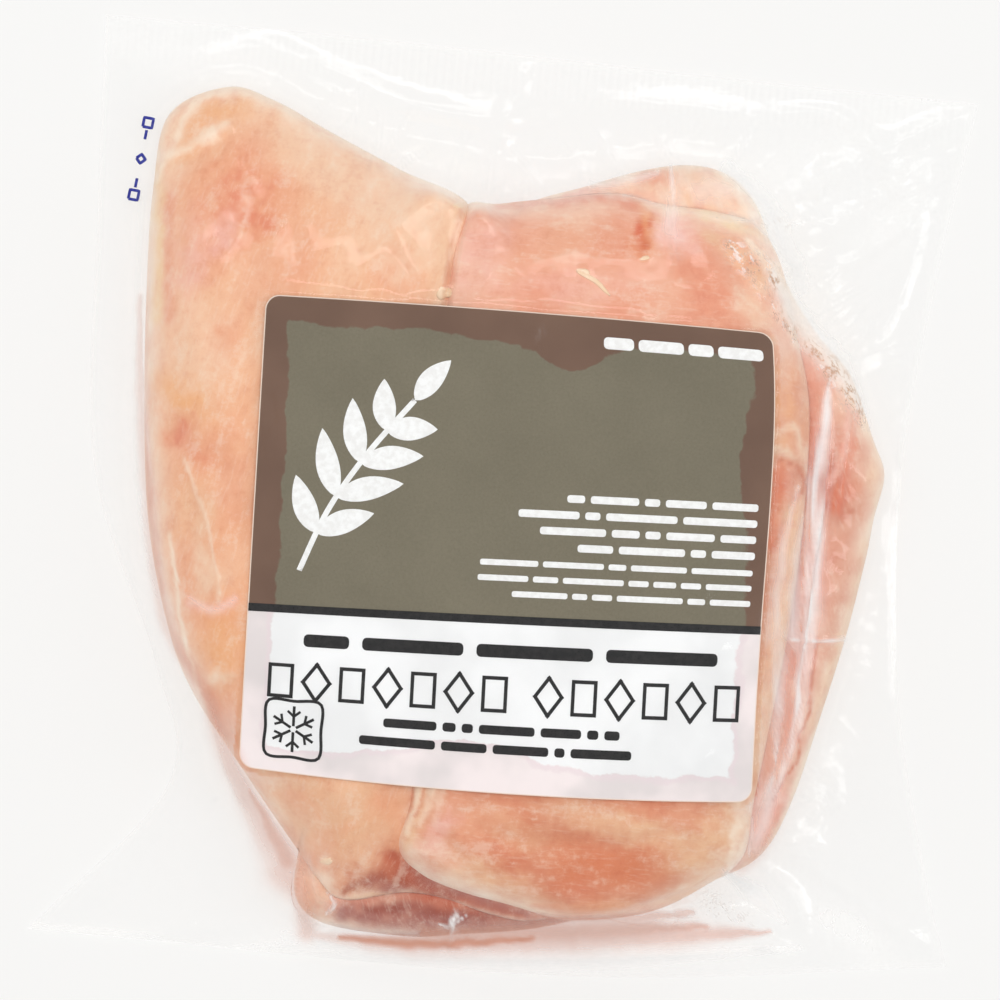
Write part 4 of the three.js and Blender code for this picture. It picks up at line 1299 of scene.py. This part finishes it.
# Soft haze over the film, in the same form; one patch is a painted sheen.
HAZE_AND_SHEEN = [
    (0.3, (0.5, 1.2, 0.5), [(-63, -20.4), (-58, -22.8), (-53.6, -20.4)]),
    (0.45, (1.4, 2.6, 3, 2), [(45, 66), (52, 60), (56.4, 51), (60, 42)]),
    (0.6, (0.5, 1.8, 2.2, 1.2), [(45.4, 66.8), (50, 62.2), (53.6, 56.8), (56.4, 50.4)]),
    (0.62, (0.8, 2.6, 3, 2.6, 1), [(54, 45), (57, 38.4), (61.4, 32.6), (67, 26), (72.6, 17)]),
    # the second patch is a painted sheen on the film over the right breast's top
    (0.35, 42, 62, 7, 3, 170), (0.35, 33.8, 56, 5.4, 3, 88),
    (0.5, (0.8, 1.2, 0.6), [(18, 62.4), (25, 63.6), (31, 65)]),
    (0.5, (0.3, 0.6, 0.4), [(33.8, 66.4), (34, 64), (34.2, 58.4)]),
    (0.25, (0.3, 0.7, 0.7, 0.3), [(24, 60.6), (36, 57.4), (47, 55.2), (60, 54.8)]),
    (0.4, (1.2, 1.6, 1.6, 1.6, 0.8), [(-44, -88.6), (-26, -92), (-8, -92.6), (8, -92.2), (24, -91.4)]),
    (0.5, (1, 2.4, 1.8), [(54, -57), (53.2, -64), (51, -71)]),
    (0.7, (0.6, 2.2, 0.4), [(45, -76), (50, -79.6), (57, -86)]),
]
# Where thin juice tints the film, in the same form.
JUICY = [
    (0.28, (0.8, 1.3, 1.3, 1.5),
     [(-73, 40), (-72.8, 19), (-71.8, 4), (-70.4, -12), (-67.4, -27), (-60.4, -38)]),
    (0.42, (1.5, 2.4, 2.3, 3, 5),
     [(-59.4, -39.4), (-55.6, -50.8), (-52.4, -58), (-47.4, -67.4), (-42.6, -74.6)]),
    (0.42, (4, 3, 2.4, 2), [(-44, -75.6), (-40, -80.8), (-39.6, -85), (-39.6, -88)]),
    (0.34, (0.8, 2, 2.2), [(-40, -88), (-20, -91), (2, -90.6)]),
    (0.5, (2.6, 3, 2.4, 0.4), [(-2, -90), (26, -88.8), (44, -88.4), (54, -88)]),
    (0.65, (1, 2.8, 3.4, 2.6, 0.8), [(-16, -88.4), (0, -88.4), (14, -88), (28, -87.4), (41, -87)]),
    (0.95, (0.6, 1.6, 1.6, 1), [(-33, -89), (-20, -90.2), (-8, -90), (6, -89.2)]),
    (0.65, (0.4, 1.6, 2.8), [(-51, -59), (-47.2, -66.4), (-43.4, -73.6)]),
    (0.22, 1.4, [(55.5, -63), (52.6, -70), (48, -75)]),
    (0.5, (0.5, 1.2, 1.2, 0.5), [(8, -84.6), (18, -85.2), (28, -84.8), (38, -83.4)]),
]
# Crumpled film with winding creases.
CREASED = [
    (1, (1.4, 3, 1.8), [(45.4, 50.4), (49.4, 47), (54.4, 43)]),
    (0.8, (0.8, 1.4, 1.4), [(50.4, 43), (54.6, 37.4), (59.6, 30.6)]),
    (0.9, (1, 2.2, 2.2, 1.2), [(59.6, 31.4), (64, 27), (68.6, 21.6), (72.6, 14.6)]),
    (0.35, 1.2, [(44, 55.6), (52, 54.6), (60, 54.8)]), (0.5, 3, [(42, -82), (48, -86)]),
    (0.3, 2, [(-38.6, -76), (-37.4, -81), (-38.4, -85)]),
]
# Clear lines through the milky patches.
CLEAR = [
    (0.6, 0.35, [(60.8, 1.8), (60.3, -10), (59.2, -27)]),
    (0.5, 0.3, [(63.4, 14), (62, 2), (61.4, -12), (60.8, -26)]),
    (0.6, 0.35, [(57.6, -31), (57.2, -44), (55.4, -54)]),
    (0.4, 0.3, [(60.4, -31), (60, -42), (56.8, -53)]),
]


def milky_cover(x, y, table, fall=2.4):
    wander_x, wander_y = waves(x, y, 6, 95), waves(x, y, 6, 96)
    cover = np.zeros(np.shape(x))
    for strength, *shape in table:
        reach = 0.12 if isinstance(shape[1], list) else 0.8
        ragged = shape_cover(x + reach * wander_x, y + reach * wander_y, shape, fall)
        cover = np.maximum(cover, strength * ragged)
    return cover


def margin_height(bag_distance, body_distance, folds):
    seam = EDGE + (SEAM - EDGE) * np.exp(np.minimum(body_distance, 0) / SETTLE)
    return seam + folds * smooth(bag_distance / 4)


def ribbon(top, under):
    """A closed strip between two pairs of long edges."""
    count = top.shape[1]
    points = np.concatenate([top[0], top[1], under[1], under[0]])
    faces = []
    for side in range(4):
        a, b = side * count, (side + 1) % 4 * count
        faces += [[a + k, b + k, b + k + 1, a + k + 1] for k in range(count - 1)]
    faces += [[3 * count, 2 * count, count, 0], [count - 1, 2 * count - 1, 3 * count - 1, 4 * count - 1]]
    return points, faces


STAMP_START, STAMP_END = (-74.8, 59.6), (-71.4, 76.6)
STAMP_SIZE, STAMP_LINE = 1.9, 0.6


def stamp_marks():
    """Simple marks in a column, as lines of places round each mark's own middle."""
    half = STAMP_SIZE / 2
    box = [(-half, -half), (half, -half), (half, half), (-half, half), (-half, -half)]
    lozenge = [(-half, 0), (0, -half), (half, 0), (0, half), (-half, 0)]
    dash = [(0, -half), (0, 0), (0, half)]
    return [box, dash, None, lozenge, None, dash, box]


def make_stamp(film_x, film_y, film_z):
    """Blue marks stamped on the film beside the left breast's tip."""
    ink = ink_material("blue_ink", srgb(58, 66, 160), srgb(34, 40, 138), 0.8)
    marks = stamp_marks()
    run = np.array(STAMP_END) - np.array(STAMP_START)
    turn = math.atan2(run[1], run[0]) - math.pi / 2
    near = np.hypot(film_x - STAMP_START[0], film_y - STAMP_START[1]) < 24
    spots, heights = np.stack([film_x[near], film_y[near]], axis=1), film_z[near]
    parts = []
    for k, points in enumerate(marks):
        if points is None:
            continue
        centre = np.array(STAMP_START) + run * (k + 0.5) / len(marks)
        line = smooth_curve(points, range(len(points)), closed=False, steps=6)
        step = np.gradient(line, axis=0)
        step /= np.hypot(*step.T)[:, None]
        offset = np.array([1.0, -1.0])[:, None] * STAMP_LINE / 2
        x, y = turned(line[:, 0] - offset * step[:, 1], line[:, 1] + offset * step[:, 0], turn)
        x, y = centre[0] + x, centre[1] + y
        gaps = np.hypot(x[..., None] - spots[:, 0], y[..., None] - spots[:, 1])
        nearby = np.argsort(gaps, axis=-1)[..., :4]
        weights = 1 / (np.take_along_axis(gaps, nearby, -1) + 0.05)
        z = (heights[nearby] * weights).sum(-1) / weights.sum(-1)
        under = np.stack([x, y, z + 0.12], axis=-1)
        parts.append(ribbon(under + (0, 0, 0.05), under))
    print_object("print_stamp", parts, ink)


def top_edge_distance(x, y):
    """Distance from the bag's top edge, where it was sealed last."""
    return nearest(x, y, smooth_curve(BAG[:7], closed=False))[0]


def film_floor(x, y, margin):
    """What the front sheet can't sink below: the meat, the label and the bag's margin."""
    across, up = label_coordinates(x, y)
    on_paper = label_inset(across, up) > -LABEL_REACH
    label_top = np.where(on_paper, label_height(across, up) + LABEL_THICK + PRINT_ROOM, 0)
    meat = np.maximum(front_meat(x, y) + fat_relief(x, y), under_top(x, y))
    return np.maximum(np.maximum(meat, label_top) + FILM_GAP, margin)


def film_creases(x, y, bag_distance, body_distance):
    """How far the folds stand out of the smooth sheet."""
    creases = fold_relief(x, y, TIGHT_FOLDS) + fold_relief(x, y, gathers()) + crushed_relief(x, y)
    creases += 0.05 * (1 + waves(x, y, 5, 81)) * smooth(-body_distance / 3)
    return creases * smooth(bag_distance / 3)


def sheet_normals(x, y, heights):
    """Which way each place of a sheet faces, upwards."""
    places = np.stack([x, y, heights], axis=-1)
    normal = np.cross(np.gradient(places, axis=1), np.gradient(places, axis=0))
    normal /= -np.linalg.norm(normal, axis=-1, keepdims=True)
    return normal * np.sign(normal[..., 2:])


def film_haze(x, y, bag_distance, body_distance, creases):
    """How cloudy the film is from 0 to 1, painted highlights and sheen on some folds and patches included,
    and how much of that is juice.
    """
    seal = smooth((SEAL_WIDTH + 1 - top_edge_distance(x, y)) / 2)
    ribs = 0.5 + 0.5 * np.sin(2 * math.pi * (x * 0.99 - y * 0.1) / SEAL_RIB)
    bend = np.abs(creases - np.roll(creases, 2, axis=0)) + np.abs(creases - np.roll(creases, 2, axis=1))
    haze = 0.04 * smooth(-body_distance / 3) + 0.06 * seal * (0.5 + 0.5 * ribs)
    haze += 0.12 * np.clip(bend - 0.1, 0, 1)
    haze += 0.12 * bell(bag_distance, 1.0)
    juice = milky_cover(x, y, JUICY)
    pleats = np.clip(0.9 + 0.22 * waves(x, 0.13 * y, 1.9, 98), 0.5, 1.15)
    pleats = mix(1, pleats, smooth((26 - y) / 6) * smooth((x - 40) / 6))
    fade = np.maximum(smooth((body_distance + 2.5) / 3), smooth((-82 - y) / 3))
    milk_and_highlights = milky_cover(x, y, MILKY_AND_HIGHLIGHTS, 2.1) * pleats * mix(0.35, 1, fade)
    milk_and_highlights = np.maximum(milk_and_highlights, milky_cover(x, y, HAZE_AND_SHEEN, 1.7))
    haze += np.maximum(milk_and_highlights, juice) * (1 - milky_cover(x, y, CLEAR))
    return haze, juice / np.maximum(haze, 0.05)


def make_film(material):
    """The two sheets of the bag, sealed together round their edge, and the marks on the front one."""
    x, y = patch(BAG, BAG_CORNERS, FILM_LINES, FILM_LINES, sharp=BAG_CORNERS)
    bag_distance = np.maximum(inside_distance(x, y, smooth_curve(BAG, BAG_CORNERS)), 0)
    outlines = (left_outline, right_outline, under_outline)
    body_distance = np.maximum.reduce([inside_distance(x, y, line) for line in outlines])
    margin = margin_height(bag_distance, body_distance, fold_relief(x, y, MARGIN_FOLDS))
    ply = PLY_GAP * smooth(bag_distance / 1.5)
    edge = np.zeros(x.shape, bool)
    edge[[0, -1]] = edge[:, [0, -1]] = True

    sheet = settle(film_floor(x, y, margin + ply), FILM_PITCH, BRIDGE_RADIUS, FILM_STEPS, edge)
    normal = sheet_normals(x, y, sheet)
    creases = film_creases(x, y, bag_distance, body_distance)
    front = np.stack([x, y, sheet], axis=-1) + normal * creases[..., None]
    faces = grid_faces(np.arange(x.size).reshape(x.shape))
    film_front = mesh_object("film_front", front.reshape(-1, 3), faces, material, "clear_film")
    haze, tint = film_haze(x, y, bag_distance, body_distance, creases)
    loose = 0.03 + 0.4 * smooth(-body_distance / 4) + 0.15 * np.clip(2 * crushed_relief(x, y), 0, 1)
    creased = milky_cover(x, y, CREASED)
    paint(film_front, "film", haze.ravel(), loose.ravel(), tint.ravel(), creased.ravel())

    under_meat = BACK_LIFT + 0.12 * (1 + waves(x, y, 9, 91))
    flat = mix(margin - ply, under_meat, edge_rise(body_distance, BELLY_EDGE))
    back = np.stack([x, y, flat], axis=-1)
    back += normal * (creases * smooth(-body_distance / 3))[..., None]
    back[edge] = front[edge]
    rows = slice(None, None, BACK_STEP)
    back = back[rows, rows]
    faces = grid_faces(np.arange(back.size // 3).reshape(back.shape[:2]), flip=True)
    film_back = mesh_object("film_back", back.reshape(-1, 3), faces, material, "clear_film")
    back_haze = 0.02 + 0.1 * bell(bag_distance, 1.0)[rows, rows]
    paint(film_back, "film", back_haze.ravel(), 0.12, alpha=0.0)
    for one in (film_front, film_back):
        one.visible_shadow = False
    make_stamp(*np.moveaxis(front, -1, 0))
    return film_front


# Stage

FRAME_WIDTH = 200.0      # what the picture spans at the label's height
CAMERA_HEIGHT = 3000.0   # above the label
FRAME_X, FRAME_Y = -0.6, -0.8
SENSOR = 36.0


def make_camera():
    camera = bpy.data.cameras.new("camera")
    camera.sensor_width = SENSOR
    camera.lens = SENSOR * CAMERA_HEIGHT / FRAME_WIDTH
    holder = bpy.data.objects.new("camera", camera)
    holder.location = (FRAME_X * MM, FRAME_Y * MM, (CAMERA_HEIGHT + CROWN_TOP) * MM)
    bpy.context.scene.collection.objects.link(holder)
    bpy.context.scene.camera = holder


# Soft lights: name, place in metres, width, height, watts, and whether the film mirrors them.
SOFTBOXES = [
    ("softbox_above", (0.05, 0.1, 1.6), 1.2, 1.2, 9.8, False),
    ("softbox_left", (-0.75, 0.15, 0.75), 0.26, 0.7, 1.35, False),
    ("softbox_right", (0.8, -0.05, 0.7), 0.22, 0.6, 1.2, True),
    ("softbox_top", (0.0, 0.85, 0.95), 0.7, 0.26, 1.45, True),
]


def softbox(name, place, width, height, watts, glints):
    """A soft light aimed at the pack."""
    light = bpy.data.lights.new(name, "AREA")
    light.shape, light.size, light.size_y, light.energy = "RECTANGLE", width, height, watts
    lamp = bpy.data.objects.new(name, light)
    lamp.location = place
    lamp.rotation_euler = Vector(place).to_track_quat("Z", "Y").to_euler()
    lamp.visible_glossy = glints
    bpy.context.scene.collection.objects.link(lamp)


FLOOR_GLOW = 0.612       # the floor is a pale light table
FLOOR_REACH = 3.0        # metres each way
WORLD_GLOW = 0.5


def floor_material():
    material, tree = new_tree("pale_floor")
    place = object_place(tree)
    shade = noise(tree, place, 60, 2.0)
    colour = blend(tree, shade, srgb(150, 150, 149), srgb(153, 153, 152))
    shine = spread(tree, shade, 0.6, 0.75)
    finish_material(tree, solid(tree, {
        "Base Color": colour, "Roughness": shine,
        "Emission Color": srgb(255, 254, 252), "Emission Strength": FLOOR_GLOW,
    }))
    return material


def make_stage():
    mesh = bpy.data.meshes.new("floor")
    corners = [(-1, -1), (1, -1), (1, 1), (-1, 1)]
    mesh.from_pydata([(FLOOR_REACH * a, FLOOR_REACH * b, 0) for a, b in corners], [], [(0, 1, 2, 3)])
    mesh.materials.append(floor_material())
    ground = bpy.data.objects.new("floor", mesh)
    bpy.context.scene.collection.objects.link(ground)

    world = bpy.data.worlds.new("studio")
    world.use_nodes = True
    background = world.node_tree.nodes["Background"]
    background.inputs[0].default_value = srgb(252, 253, 255)
    background.inputs[1].default_value = WORLD_GLOW
    bpy.context.scene.world = world
    for lamp in SOFTBOXES:
        softbox(*lamp)
    bpy.context.scene.view_settings.view_transform = "Standard"
    bpy.context.scene.cycles.use_denoising = True


def make_pack():
    make_meat()
    make_label(label_material())
    make_print()
    film_front = make_film(film_material())
    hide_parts("pouch")
    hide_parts("label")


make_camera()
make_pack()
make_stage()
